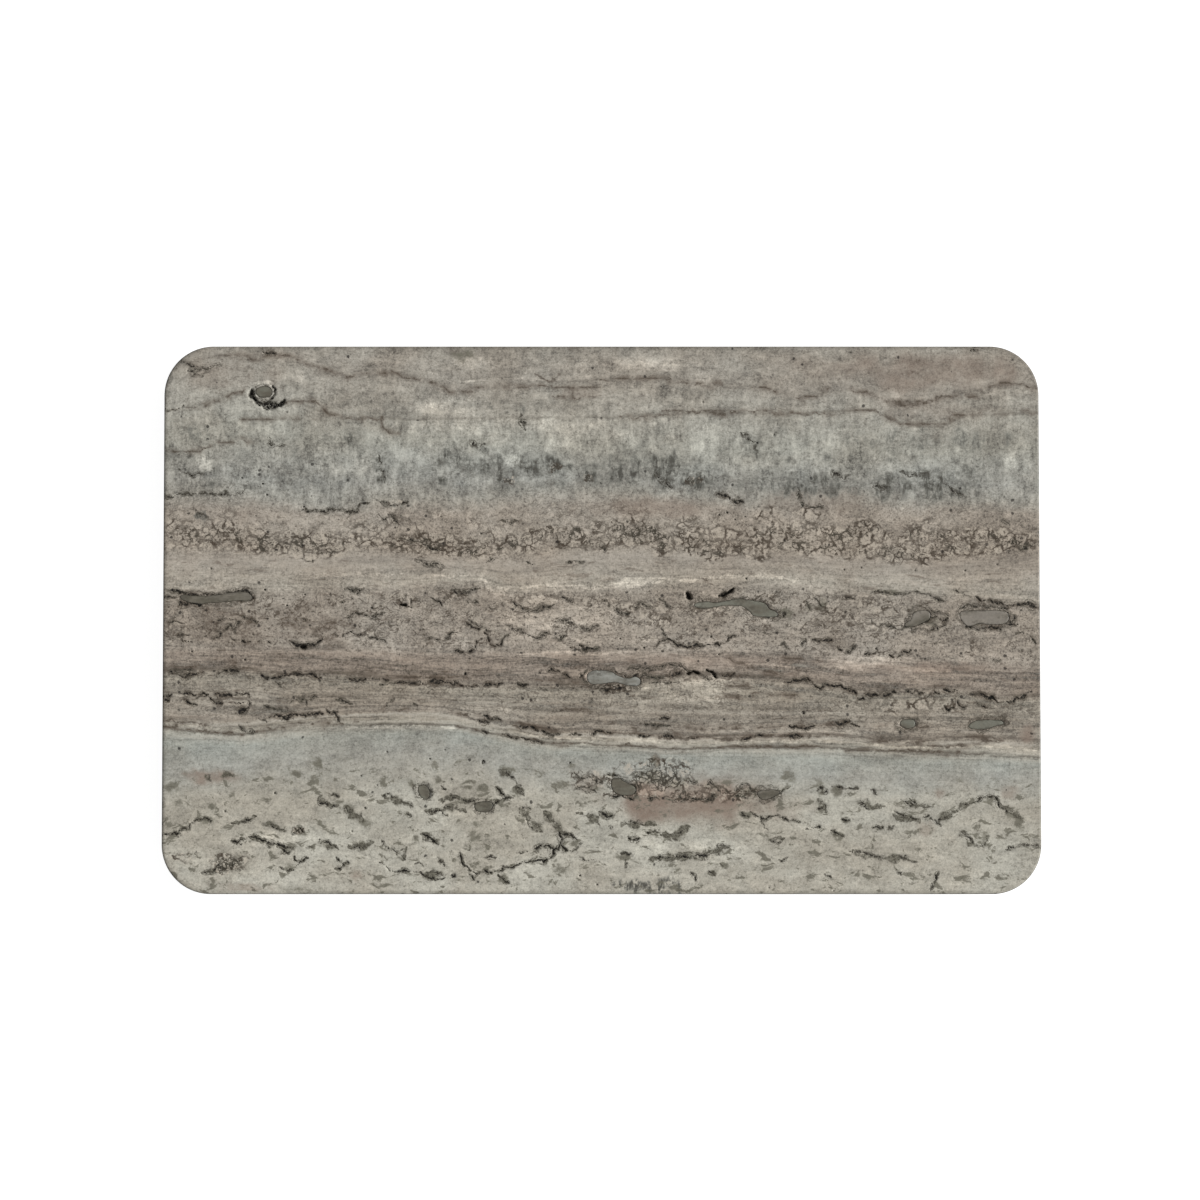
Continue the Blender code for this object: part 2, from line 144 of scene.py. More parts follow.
# The slab's rim, arris and walls. A rim point is 1.26 mm from the next
RIM_POINTS = 250
RIM_STEP = 1.26
ARRIS_STEPS = 3
WALL_STEPS = 8
PORE_STRETCH = 0.55
PORE_CELL = 1.9
PORE_FROM = 0.5
PORE_FULL = 0.85
PORE_DEPTH = 0.7 * MM
# How dark the pores of the walls are painted, for their dirt and the shade in them
PORE_DIRT_AND_SHADE = 0.7

# The grid of the slab's underside
UNDER_REACH_X = 0.195
UNDER_REACH_Y = 0.12
UNDER_STEP_X = 0.0065
UNDER_STEP_Y = 0.006
UNDER_MARGIN = 3 * MM

# How the face's values fade down the walls, and how strongly shade is painted on the arris
WALL_READS_INWARD = 1.3 * MM
FADE_FROM = 1.5 * MM
FADE_TO = 9 * MM
PAINTED_SHADE_DEPTH = 0.4 * MM
PAINTED_SHADE_END = 6 * MM
PAINTED_SHADE_DROP = 0.7
PAINTED_RIM_SHADE = 0.35

# The layout of the slab's own UV map, as shares of the square
UV_FACE_SIZE = 0.96
UV_FACE_MIDDLE = (0.5, 0.68)
UV_UNDER_SIZE = 0.46
UV_UNDER_MIDDLE = (0.26, 0.18)
UV_STRIP_LEFT = 0.53
UV_STRIP_LENGTH = 0.44
UV_STRIP_LOW = 0.04
UV_STRIP_PITCH = 0.075
UV_STRIP_HEIGHT = 0.055

# The fillings' outlines
LEVEL = 0.99
STEEP = 0.5
WELD = 1e-6
CURVE_SPACING = 0.2 * MM
OUTLINE_SPACING = 0.4 * MM
SMOOTHINGS = 4
OUTLINE_WOBBLE = 0.12 * MM
OUTLINE_CELL = 1.5 * MM
OUTLINE_INSET = 0.1 * MM

# The fillings' faces
FILLING_EDGE = 0.12 * MM
FILLING_STEP = 0.55 * MM
FILLING_MARGIN = 0.4 * MM
FILLING_BELOW_FACE = 0.02 * MM
FILLING_DIP = 0.10 * MM
FILLING_DIP_REACH = 2 * MM
FILLING_RIPPLE = 0.02 * MM
FILLING_RIPPLE_CELL = 1.1 * MM
DIRTY_EDGE_FROM = 0.1 * MM
DIRTY_EDGE_TO = 0.9 * MM
# How much darker than its filler's usual colour each filling is
FILLING_TONES = {
    "fill_back_left": .9, "fill_left_lens": .9, "fill_mid_seam": .2, "fill_right_lens": .6,
    "fill_right_oval": .1, "fill_mid_patch": .45, "fill_front_vug": 1, "fill_front_seam": .75,
    "fill_right_diamond": .65, "fill_right_leaf": .3, "fill_front_square": .75, "fill_front_oval": .7,
}

# The feet and their tape
TURN_STEPS = 64
FOOT_FACE = 0.85
FOOT_BEND_POINTS = 7
FOOT_SOFT_EDGE = 0.9 * MM
FOOT_FLARE_POINTS = 6
FOOT_FLARE_START = 0.1
FOOT_FLARE_TOP = 0.78
FOOT_FLARE_POWER = 1.6
FOOT_BRIM = 0.15 * MM
TAPE_BULGE = 0.25 * MM
TAPE_POINTS = 7

# The light, the floor and the camera
WHITE = (1, 1, 1, 1)
WORLD_LIGHT = 0.36
KEY_LIGHT = 4.4
KEY_LIGHT_WIDTH = math.radians(25)
KEY_LIGHT_TURN = (math.radians(-3), math.radians(62), 0)
FLOOR_SIZE = 8.0
FLOOR_GREY = 0.4
FLOOR_LIFT = 0.88
CAMERA_DISTANCE = 1.5
CAMERA_TILT = math.radians(2.7)
SENSOR = 36.0
FRAME_PIXELS = 1200
FRAME_MIDDLE = 600
HALF_PIXEL = 0.5

# Beds: each horizon follows one bed across the face, from the back of the slab to its front.
# Every line from here on gives the x and y of its points in turn, in the photograph's frame.
HORIZONS = (
    (160, 330, 1045, 330),
    (160, 372, 192, 360, 220, 355, 290, 355, 312, 368, 346, 377, 378, 371, 400, 376, 440, 384, 465, 393,
     500, 386, 600, 380, 665, 379, 712, 386, 775, 392, 805, 399, 848, 390, 890, 403, 926, 402, 960, 394,
     985, 389, 1005, 382, 1045, 390),
    (160, 413, 200, 408, 232, 394, 265, 398, 300, 402, 330, 415, 380, 419, 500, 418, 620, 417, 680, 412,
     790, 413, 872, 409, 905, 425, 940, 427, 965, 415, 1045, 412),
    (160, 450, 255, 441, 300, 448, 450, 450, 560, 455, 700, 462, 850, 462, 1045, 458),
    (160, 497, 242, 494, 330, 508, 380, 500, 470, 502, 540, 492, 640, 492, 742, 503, 800, 500, 880, 502,
     950, 500, 1045, 506),
    (160, 524, 260, 530, 400, 529, 520, 531, 600, 519, 660, 518, 760, 526, 870, 524, 1045, 528),
    (160, 549, 320, 552, 400, 550, 470, 559, 520, 558, 570, 549, 640, 547, 720, 552, 800, 553, 900, 559,
     965, 557, 1045, 548),
    (160, 589, 300, 587, 400, 584, 480, 579, 505, 588, 600, 586, 680, 582, 760, 579, 840, 586, 900, 590,
     980, 596, 1045, 601), (160, 622, 400, 620, 700, 624, 1045, 626),
    (160, 649, 330, 649, 440, 652, 600, 651, 700, 650, 780, 653, 880, 660, 960, 665, 1045, 668),
    (160, 672, 240, 671, 292, 676, 340, 675, 400, 683, 470, 686, 530, 687, 600, 686, 690, 676, 770, 680,
     815, 684, 859, 694, 918, 692, 960, 692, 998, 701, 1045, 697),
    (160, 696, 250, 695, 300, 700, 400, 700, 460, 704, 570, 708, 640, 712, 760, 716, 900, 714, 1045, 718),
    (160, 718, 217, 722, 282, 718, 320, 714, 400, 711, 440, 711, 472, 719, 513, 724, 547, 733, 582, 732,
     650, 735, 689, 738, 740, 737, 819, 735, 888, 741, 934, 740, 977, 738, 1045, 743),
    (160, 727, 198, 732, 243, 735, 300, 726, 345, 724, 400, 724, 455, 725, 490, 733, 532, 740, 560, 744,
     631, 745, 670, 749, 740, 747, 819, 747, 878, 750, 944, 753, 1045, 758),
    (160, 768, 300, 757, 400, 747, 460, 747, 530, 761, 620, 768, 760, 774, 900, 776, 1045, 774),
    (160, 806, 600, 800, 1045, 806), (160, 850, 1045, 850), (160, 920, 1045, 920),
)
BED_THICKNESSES = (38, 33, 38, 43, 27, 27, 33, 38, 29, 27, 24, 20, 12, 26, 37, 47, 70)
BEDS_TOTAL = sum(BED_THICKNESSES)
# The beds lean back as they go down through the slab
BED_LEAN = math.tan(math.radians(28))

# Black cracks and the lips of small open holes, behind the pale front bed
BACK_CRACKS = (
    (163, 412, 175, 410, 184, 407), (717, 494, 727, 498, 734, 502, 743, 503),
    (165, 590, 171, 591, 178, 592, 185, 594, 200, 596, 215, 595, 232, 592, 246, 592, 253, 596, 252, 600),
    (165, 598, 176, 598), (179, 601, 181, 605, 186, 605, 188, 601), (190, 604, 199, 604, 208, 602),
    (215, 601, 226, 601), (238, 601, 250, 600), (399, 601, 403, 606, 411, 608, 412, 600),
    (432, 598, 437, 601, 442, 606), (164, 637, 168, 639), (176, 637, 184, 635, 190, 636),
    (181, 640, 186, 643, 191, 642), (241, 641, 246, 643, 251, 642), (257, 642, 261, 639),
    (264, 643, 270, 644), (273, 646, 279, 641), (290, 641, 294, 645, 303, 647, 314, 645, 322, 641),
    (343, 635, 350, 632, 357, 636, 365, 634), (467, 624, 472, 629, 481, 630),
    (484, 632, 489, 640, 491, 646, 499, 646, 502, 641), (474, 647, 476, 641, 481, 640),
    (455, 651, 465, 653, 474, 650), (579, 646, 586, 650, 592, 648), (570, 648, 580, 651),
    (656, 646, 663, 640, 670, 640, 676, 645, 687, 648, 700, 647, 713, 645, 722, 645),
    (706, 646, 722, 645, 727, 642, 728, 637, 735, 636), (812, 641, 820, 642, 832, 641),
    (836, 649, 842, 651), (864, 654, 871, 653, 880, 653), (889, 656, 894, 658), (902, 652, 910, 651),
    (172, 673, 182, 676, 194, 675, 202, 672), (218, 673, 228, 670, 238, 671),
    (261, 677, 272, 679, 284, 676, 296, 674, 312, 676, 322, 678), (347, 679, 358, 680, 367, 679),
    (383, 680, 388, 681), (264, 681, 269, 681), (396, 684, 410, 684, 426, 685),
    (428, 682, 444, 682, 458, 685, 470, 687, 480, 686), (483, 685, 493, 686, 503, 684),
    (512, 684, 520, 686, 528, 687), (547, 671, 558, 672), (562, 675, 572, 679), (579, 679, 582, 675),
    (600, 689, 612, 690, 624, 688), (604, 685, 610, 687, 620, 687), (615, 671, 622, 676, 630, 678),
    (632, 678, 637, 675), (664, 677, 673, 675, 681, 672), (722, 676, 730, 677, 735, 671),
    (783, 683, 791, 682, 799, 680, 811, 680), (812, 682, 815, 688, 821, 690, 826, 685),
    (826, 684, 834, 686, 845, 688, 855, 693, 858, 699, 865, 700),
    (862, 694, 872, 696, 884, 695, 896, 692), (911, 692, 923, 693), (926, 697, 934, 693, 939, 693),
    (943, 690, 950, 691, 957, 690), (968, 693, 985, 697, 991, 698, 998, 703),
    (1005, 702, 1020, 699, 1026, 696), (944, 706, 948, 711, 952, 707), (958, 701, 962, 707, 967, 706),
    (981, 706, 987, 708), (166, 697, 171, 695), (181, 694, 196, 696, 206, 693),
    (194, 698, 205, 697, 209, 694), (164, 700, 169, 701), (183, 700, 190, 703, 198, 704),
    (209, 699, 213, 702, 221, 703), (215, 694, 232, 696, 248, 693, 249, 697),
    (250, 703, 246, 708, 240, 712, 248, 711), (228, 704, 244, 704), (326, 710, 332, 713, 338, 713),
    (336, 714, 340, 721), (270, 718, 283, 716, 297, 715), (299, 715, 322, 714), (281, 720, 289, 718),
    (478, 721, 488, 722), (484, 716, 490, 719, 500, 720), (479, 732, 488, 734),
    (518, 727, 530, 728, 537, 731), (541, 732, 549, 735, 560, 735), (568, 734, 580, 734),
    (591, 733, 601, 732, 611, 734), (501, 736, 512, 737), (516, 739, 530, 740, 541, 743),
    (661, 719, 668, 719), (639, 737, 650, 736), (660, 736, 672, 738), (685, 738, 697, 739),
    (741, 739, 752, 737, 764, 736), (784, 736, 802, 737), (788, 727, 802, 728, 817, 726),
    (829, 725, 848, 722), (850, 723, 858, 727), (845, 596, 853, 599), (976, 599, 986, 601),
    (988, 601, 1002, 604, 1014, 605, 1026, 604, 1038, 608), (962, 621, 966, 627, 971, 628),
    (989, 628, 998, 627), (928, 620, 936, 617), (938, 618, 943, 623, 948, 618), (783, 611, 784, 618),
    (1009, 625, 1018, 625), (263, 352, 275, 352), (970, 350, 978, 350),
)
# Cracks of the front bed, which run inside olive-grey veins
FRONT_CRACKS = (
    (163, 834, 169, 835, 178, 831, 186, 829),
    (186, 829, 190, 826, 197, 819, 204, 819, 211, 821, 209, 823),
    (232, 840, 237, 843, 244, 839, 251, 837, 259, 838, 267, 843),
    (267, 843, 272, 844, 281, 845, 291, 849), (292, 849, 288, 852, 279, 848),
    (200, 872, 206, 873, 213, 871, 214, 867), (295, 866, 300, 862, 308, 857),
    (280, 868, 288, 870, 295, 869), (294, 857, 298, 860, 304, 861),
    (334, 869, 341, 867, 346, 862, 350, 863), (336, 857, 342, 861), (293, 833, 299, 829, 304, 832),
    (378, 862, 384, 864, 390, 869), (392, 870, 399, 872, 408, 869, 416, 872, 423, 871),
    (422, 873, 428, 877, 438, 880, 445, 878), (423, 835, 428, 838, 433, 840, 438, 845),
    (460, 853, 462, 862, 468, 867, 475, 872, 486, 871, 497, 872), (470, 873, 474, 879),
    (497, 872, 502, 866, 513, 866, 522, 862), (499, 874, 503, 880, 510, 883),
    (522, 862, 536, 861, 549, 859), (550, 859, 554, 851, 560, 847, 561, 838, 559, 831),
    (561, 833, 570, 834, 578, 840), (561, 845, 566, 850, 571, 850),
    (533, 849, 540, 846, 549, 846, 555, 850), (484, 808, 494, 803, 503, 800, 512, 798),
    (461, 799, 470, 801), (496, 786, 500, 793, 505, 797), (441, 786, 445, 789),
    (604, 773, 611, 776, 619, 777), (612, 796, 622, 797, 634, 799),
    (676, 856, 688, 857, 697, 855, 709, 854), (628, 838, 634, 840, 640, 838),
    (600, 812, 606, 816, 613, 815), (645, 833, 651, 832), (813, 828, 818, 826, 824, 829),
    (830, 830, 837, 833), (893, 812, 903, 815), (924, 817, 928, 815), (929, 818, 936, 821, 940, 825),
    (995, 798, 999, 806, 1003, 809), (932, 884, 936, 876, 940, 871), (983, 797, 994, 796),
    (901, 800, 912, 804), (840, 819, 848, 820), (848, 789, 857, 788), (873, 827, 882, 827),
    (886, 828, 892, 829), (750, 789, 756, 793), (777, 793, 784, 790),
)
# Narrow cracks and edges of pores, which are grey-brown and hardly open
FINE_CRACKS = (
    (300, 512, 306, 510, 322, 512, 342, 510, 357, 512, 361, 504, 378, 500, 392, 506, 408, 503),
    (166, 497, 190, 494, 205, 493, 215, 495, 242, 494, 248, 488), (722, 490, 727, 497),
    (400, 539, 415, 541, 425, 546, 432, 550, 445, 551),
    (1010, 540, 1013, 548, 1022, 551, 1030, 547, 1036, 542),
    (798, 488, 799, 498, 803, 506, 812, 508, 825, 506), (308, 610, 314, 614), (300, 618, 306, 621),
    (240, 618, 250, 620, 258, 623), (168, 622, 182, 624), (345, 590, 360, 590), (338, 602, 345, 602),
    (355, 613, 370, 617, 385, 612), (467, 603, 480, 603), (538, 612, 545, 608, 556, 604),
    (450, 590, 458, 595, 470, 592, 480, 588), (425, 565, 442, 565), (485, 562, 495, 560),
    (525, 564, 535, 564), (565, 562, 585, 562), (806, 603, 812, 611), (815, 598, 822, 606, 829, 612),
    (622, 614, 632, 614), (640, 603, 645, 607, 650, 610), (660, 600, 666, 606, 672, 610),
    (953, 590, 962, 594, 972, 597), (870, 594, 878, 592, 888, 595, 900, 595, 912, 593, 922, 594),
    (922, 594, 932, 596, 938, 600, 945, 603), (898, 630, 912, 627, 928, 620), (202, 638, 207, 637),
    (208, 634, 213, 629, 220, 632, 219, 638, 212, 640), (222, 631, 229, 626, 236, 630),
    (230, 637, 238, 641), (333, 634, 338, 638), (368, 636, 375, 640, 385, 642), (503, 640, 508, 636),
    (425, 640, 430, 637, 438, 640, 443, 648), (445, 640, 451, 633, 458, 634), (541, 631, 552, 634),
    (552, 639, 560, 639, 566, 636), (590, 650, 600, 647), (662, 626, 666, 638),
    (762, 632, 768, 636, 775, 632), (777, 648, 783, 644, 789, 650), (800, 646, 806, 640),
    (845, 653, 850, 652, 856, 645), (897, 658, 902, 653), (933, 645, 938, 642, 941, 643),
    (870, 620, 872, 624, 878, 627, 884, 625, 892, 628, 900, 629, 910, 627, 920, 624),
    (971, 628, 980, 624), (1015, 634, 1020, 633, 1028, 635, 1033, 640, 1036, 645),
    (990, 659, 994, 662, 999, 660), (168, 673, 180, 671, 200, 672), (293, 671, 298, 675),
    (276, 682, 280, 688), (380, 686, 400, 683, 420, 683), (540, 688, 547, 692), (590, 671, 605, 670),
    (587, 671, 582, 676, 588, 684), (640, 674, 650, 678, 664, 677), (705, 671, 713, 671),
    (822, 685, 828, 683), (903, 694, 911, 692), (1024, 697, 1030, 690), (975, 702, 980, 706),
    (265, 706, 275, 709, 284, 711), (290, 703, 297, 699, 306, 701, 306, 706), (308, 700, 318, 696),
    (335, 700, 352, 703), (258, 719, 266, 722), (395, 700, 390, 702, 386, 706), (340, 722, 344, 724),
    (239, 724, 241, 728, 246, 732, 256, 731), (414, 703, 417, 706), (462, 714, 468, 717, 475, 720),
    (640, 724, 656, 726, 671, 727), (230, 824, 240, 822, 248, 820, 256, 816),
    (262, 825, 270, 824, 280, 829, 286, 830), (320, 840, 328, 843, 338, 848),
    (350, 846, 362, 848, 366, 840), (318, 799, 322, 802, 330, 806, 338, 805),
    (343, 805, 347, 810, 350, 813), (330, 796, 333, 793, 338, 797), (360, 812, 362, 818),
    (383, 795, 389, 794, 394, 797, 400, 801, 412, 806), (305, 846, 312, 847),
    (425, 811, 432, 812, 440, 810, 452, 806, 460, 810, 466, 812), (440, 811, 446, 814, 450, 817),
    (448, 796, 460, 797), (467, 801, 473, 800, 474, 804), (505, 797, 515, 797),
    (500, 770, 506, 772, 512, 778, 520, 780), (513, 786, 519, 789, 525, 796), (520, 808, 530, 808),
    (525, 820, 533, 828), (545, 815, 549, 820), (405, 812, 411, 818),
    (381, 841, 386, 845, 397, 852, 407, 848), (396, 852, 404, 858), (416, 864, 422, 862, 424, 866),
    (426, 872, 434, 870, 443, 874), (437, 856, 441, 861, 446, 866), (463, 848, 470, 850),
    (571, 850, 577, 847, 583, 843), (484, 857, 496, 857), (520, 852, 527, 852),
    (579, 858, 588, 860, 593, 860), (576, 785, 580, 790, 590, 793),
    (642, 799, 660, 797, 680, 797, 700, 800, 715, 799), (735, 797, 745, 796, 750, 792),
    (785, 789, 788, 790), (817, 790, 822, 786, 826, 791, 821, 794), (818, 810, 824, 806, 826, 811),
    (740, 812, 748, 818), (750, 813, 758, 817, 768, 818, 775, 815, 790, 820, 800, 822),
    (761, 818, 764, 824, 768, 829), (628, 822, 634, 821, 645, 825, 650, 825), (609, 828, 614, 826),
    (651, 832, 662, 829), (668, 834, 675, 835, 681, 832, 687, 826), (650, 858, 658, 857, 671, 858),
    (713, 850, 718, 843, 729, 846), (618, 855, 625, 852, 632, 857), (626, 860, 626, 867),
    (720, 862, 728, 868), (708, 871, 716, 875), (690, 872, 694, 876, 697, 880),
    (770, 840, 777, 842, 783, 838), (769, 857, 775, 859, 788, 858), (803, 829, 813, 828),
    (838, 833, 843, 838), (833, 787, 848, 789), (857, 801, 863, 804, 868, 810, 873, 808),
    (893, 829, 895, 825), (903, 815, 918, 820), (938, 820, 950, 815, 958, 810, 962, 802),
    (905, 803, 911, 805, 915, 803, 910, 799), (962, 803, 970, 804, 978, 801, 983, 797),
    (1002, 808, 1007, 811, 1015, 812), (983, 845, 988, 834), (960, 832, 970, 838, 977, 846),
    (1005, 848, 1015, 848, 1023, 845, 1040, 846), (850, 850, 864, 853, 880, 858, 884, 856),
    (893, 855, 900, 857, 916, 862), (896, 868, 900, 872, 903, 876), (932, 882, 930, 892),
    (872, 790, 877, 795), (825, 873, 832, 879),
)
# Chains of crumbs, thin and broken
CRUMB_LINES = (
    (180, 360, 188, 364, 196, 368, 206, 369, 214, 366), (188, 371, 200, 374, 210, 370),
    (213, 362, 220, 366), (378, 452, 381, 462, 384, 483),
    (378, 515, 384, 520, 392, 515, 397, 522, 396, 532), (415, 560, 430, 566, 445, 569),
    (345, 590, 356, 592, 365, 589), (450, 590, 462, 594, 475, 589), (800, 500, 806, 507, 822, 508),
    (873, 485, 885, 489), (945, 486, 965, 497), (1000, 521, 1010, 525), (1020, 545, 1030, 550),
    (905, 624, 912, 615, 925, 611, 940, 612, 948, 617, 944, 626, 930, 630, 915, 630, 905, 626),
    (958, 612, 966, 606, 985, 607, 1008, 610, 1014, 618, 1005, 628, 985, 630, 968, 626, 960, 618),
    (600, 598, 608, 603, 616, 610, 624, 615, 632, 612, 640, 604, 650, 606),
    (510, 602, 520, 608, 533, 611, 545, 606), (556, 622, 565, 620, 578, 628, 590, 630, 598, 626),
    (506, 625, 515, 630, 530, 636, 545, 638), (560, 598, 575, 604),
    (640, 678, 648, 672, 658, 668, 668, 664, 680, 666, 690, 670, 700, 675, 712, 680),
    (650, 682, 665, 684, 680, 681), (572, 772, 580, 780, 590, 776, 600, 784, 608, 778),
    (576, 790, 586, 786, 596, 792), (668, 800, 690, 800, 715, 798),
    (690, 778, 700, 786, 712, 782, 720, 792, 708, 798),
    (735, 790, 745, 784, 755, 792, 745, 799, 735, 795), (628, 670, 640, 668, 655, 671),
    (470, 622, 480, 628, 490, 632), (215, 625, 225, 618, 240, 622, 236, 632),
    (345, 618, 358, 612, 372, 618, 385, 615), (300, 560, 315, 562), (193, 509, 207, 519),
    (215, 856, 240, 860), (214, 866, 240, 870), (218, 855, 220, 872), (232, 856, 233, 872),
    (600, 545, 606, 552), (500, 520, 512, 523, 520, 520), (520, 415, 527, 430),
    (740, 432, 752, 440, 756, 452), (655, 470, 662, 482, 672, 488), (900, 470, 910, 476, 925, 474),
    (470, 440, 480, 447, 486, 443), (180, 470, 192, 476, 204, 474), (268, 440, 276, 447, 284, 445),
    (830, 470, 842, 478, 850, 474),
)
# Brown and grey veins with soft edges, not open at all
VEINS = (
    (220, 355, 235, 357, 262, 357, 290, 355, 305, 363, 322, 368, 346, 377, 365, 374, 378, 371, 388, 374),
    (184, 407, 200, 409, 218, 401, 232, 394, 245, 390), (382, 415, 382, 428, 390, 432, 400, 432),
    (285, 402, 300, 402, 312, 400, 320, 404, 325, 410, 330, 416, 355, 418, 380, 419),
    (390, 371, 400, 376, 415, 379, 430, 380, 440, 385, 450, 393, 465, 393, 475, 388, 490, 386, 548, 386),
    (535, 373, 545, 378, 550, 381, 556, 378, 559, 374), (550, 386, 575, 390, 600, 388),
    (552, 397, 580, 399, 600, 395),
    (600, 380, 640, 378, 665, 379, 680, 382, 700, 385, 712, 386, 722, 383),
    (750, 386, 765, 388, 775, 392, 790, 397, 805, 399, 815, 396, 830, 388),
    (848, 390, 870, 394, 880, 399, 890, 403, 910, 403, 926, 402, 940, 396, 960, 394, 976, 396, 985, 389,
     1000, 382, 1020, 384, 1037, 390), (888, 404, 905, 405, 926, 404, 942, 398),
    (660, 410, 700, 411, 740, 411, 760, 413),
    (620, 417, 650, 417, 680, 412, 700, 412, 720, 414, 740, 412, 790, 413, 830, 414, 845, 412, 872, 409,
     888, 416, 893, 421, 905, 425, 925, 423, 940, 427, 948, 422, 955, 416, 980, 412, 1000, 413, 1036,
     412), (166, 450, 180, 451, 190, 453, 200, 450, 215, 446, 235, 441, 255, 440), (240, 419, 300, 419),
    (725, 657, 732, 661, 745, 665, 752, 668, 768, 672, 778, 675), (780, 657, 797, 659, 805, 660),
    (723, 688, 735, 687, 750, 686), (722, 692, 730, 696, 745, 698, 760, 694, 780, 693, 800, 697),
    (165, 666, 200, 667), (385, 676, 430, 678, 470, 677), (230, 661, 240, 664),
    (163, 720, 190, 722, 215, 725), (163, 727, 200, 731, 243, 735),
    (256, 731, 269, 730, 293, 725, 345, 724), (352, 721, 360, 722), (380, 710, 386, 706),
    (400, 710, 411, 712), (443, 711, 456, 712, 468, 717), (455, 725, 465, 730, 480, 732),
    (513, 725, 520, 728), (515, 722, 540, 728, 560, 731), (541, 743, 550, 744, 572, 745),
    (562, 707, 567, 709, 582, 709, 596, 713),
    (600, 732, 625, 734, 650, 735, 680, 739, 705, 738, 735, 739, 755, 736, 790, 736, 815, 736, 830, 735),
    (755, 728, 785, 726, 812, 727, 830, 725, 849, 722), (630, 729, 700, 730, 740, 729),
    (605, 744, 635, 745, 660, 748, 685, 749, 700, 748), (700, 748, 760, 747, 819, 747),
    (868, 739, 882, 741, 890, 742),
    (905, 743, 925, 742, 935, 745, 950, 747, 965, 745, 985, 741, 1000, 742),
    (965, 739, 990, 737, 1003, 740), (845, 751, 870, 750, 900, 750, 930, 752, 945, 754, 960, 752),
    (918, 728, 925, 727, 931, 725), (655, 750, 659, 765), (703, 578, 712, 586),
)
# Olive-grey veins of the front bed with no crack inside
OLIVE_VEINS = (
    (230, 824, 240, 822, 248, 820, 256, 816), (262, 825, 270, 824, 280, 829, 286, 830),
    (383, 795, 397, 800, 412, 806), (425, 811, 440, 810, 452, 806, 466, 812),
    (500, 770, 512, 778, 520, 786, 522, 794), (318, 799, 330, 806, 338, 805),
    (345, 805, 352, 815, 362, 820), (396, 852, 402, 860, 407, 849), (320, 842, 330, 846, 340, 850),
    (348, 846, 364, 846, 374, 842), (520, 808, 530, 822, 540, 828), (545, 812, 552, 822, 562, 830),
    (576, 812, 590, 816, 600, 826), (440, 800, 455, 797, 470, 800), (205, 775, 212, 779),
    (222, 776, 232, 775), (660, 834, 675, 835, 690, 826), (650, 858, 680, 857, 712, 852, 728, 846),
    (770, 840, 783, 838), (735, 797, 750, 792), (818, 800, 826, 806), (893, 815, 905, 818, 920, 820),
    (860, 800, 873, 808, 885, 806), (905, 803, 915, 806, 930, 806), (938, 820, 958, 810, 966, 803),
    (1000, 806, 1015, 812, 1024, 822), (850, 850, 880, 858, 900, 858), (960, 832, 977, 846, 983, 845),
    (620, 824, 645, 825, 655, 823),
)
# Cream lines between the beds
CREAM_LINES = (
    (430, 372, 440, 378, 455, 383, 470, 381, 490, 379, 520, 378, 550, 380, 600, 377),
    (445, 577, 470, 576, 484, 580), (300, 575, 350, 577, 420, 574, 450, 577),
    (700, 578, 760, 576, 800, 580), (520, 655, 560, 652, 600, 654, 640, 651),
    (780, 664, 840, 668, 900, 671, 960, 672),
    (500, 731, 540, 737, 580, 740, 620, 741, 660, 743, 720, 742, 790, 742, 850, 743),
    (600, 736, 640, 739, 680, 742, 760, 741, 830, 740, 880, 745, 930, 748, 1000, 746, 1036, 751),
    (165, 723, 215, 728, 243, 731), (700, 733, 760, 731, 820, 731, 860, 733),
    (345, 727, 420, 727, 455, 728),
)
CREAM_BANDS = (
    (484, 580, 488, 586, 492, 592, 498, 597, 504, 593, 508, 588, 514, 587),
    (512, 587, 530, 588, 550, 586, 566, 589), (566, 586, 590, 588, 606, 587, 616, 584),
    (606, 587, 630, 585, 650, 582, 664, 582), (620, 583, 645, 580, 668, 579),
    (680, 580, 692, 582, 698, 580),
)
PALE_SEAMS = (
    (254, 386, 256, 383, 264, 382, 271, 384, 273, 389, 272, 395, 266, 399, 258, 398, 254, 394),
    (499, 586, 499, 600), (606, 774, 612, 779), (754, 619, 765, 622, 777, 623), (694, 668, 703, 670),
    (785, 533, 800, 533), (440, 681, 448, 682), (658, 685, 658, 688), (296, 702, 299, 702),
    (410, 595, 410, 603), (985, 841, 989, 841), (690, 610, 705, 611, 735, 609), (640, 690, 652, 689),
)
SMALL_PITS = (
    287, 412, 263, 484, 242, 478, 256, 516, 267, 495, 304, 507, 211, 569, 265, 590, 266, 610, 287, 606,
    330, 595, 305, 595, 352, 599, 471, 521, 441, 517, 481, 534, 517, 606, 591, 606, 746, 579, 776, 592,
    719, 515, 727, 513, 735, 520, 745, 517, 844, 570, 861, 568, 915, 571, 997, 565, 965, 571, 1016, 618,
    388, 515, 395, 528, 192, 652, 245, 660, 253, 635, 620, 639, 711, 637, 644, 648, 719, 655, 876, 649,
    225, 811, 275, 793, 361, 776, 377, 785, 365, 808, 352, 831, 580, 875, 597, 884, 769, 887, 834, 890,
    905, 855, 430, 759, 445, 750, 387, 752, 703, 402, 774, 435, 757, 443, 702, 601, 570, 763,
)
SMALL_PIT_WIDTH = 2.2
WIDE_PITS = (465, 674, 803, 713, 453, 875, 483, 762, 784, 614)
WIDE_PIT_WIDTH = 5.0
# Dark marks on the left arris, and the dirty ring beside the back left filling
EDGE_LINES = (
    (163, 463, 163, 482), (163, 535, 163, 551), (163, 628, 163, 637), (163, 786, 163, 788),
    (163, 833, 168, 834), (272, 385, 275, 389, 275, 394, 272, 398, 268, 400),
)
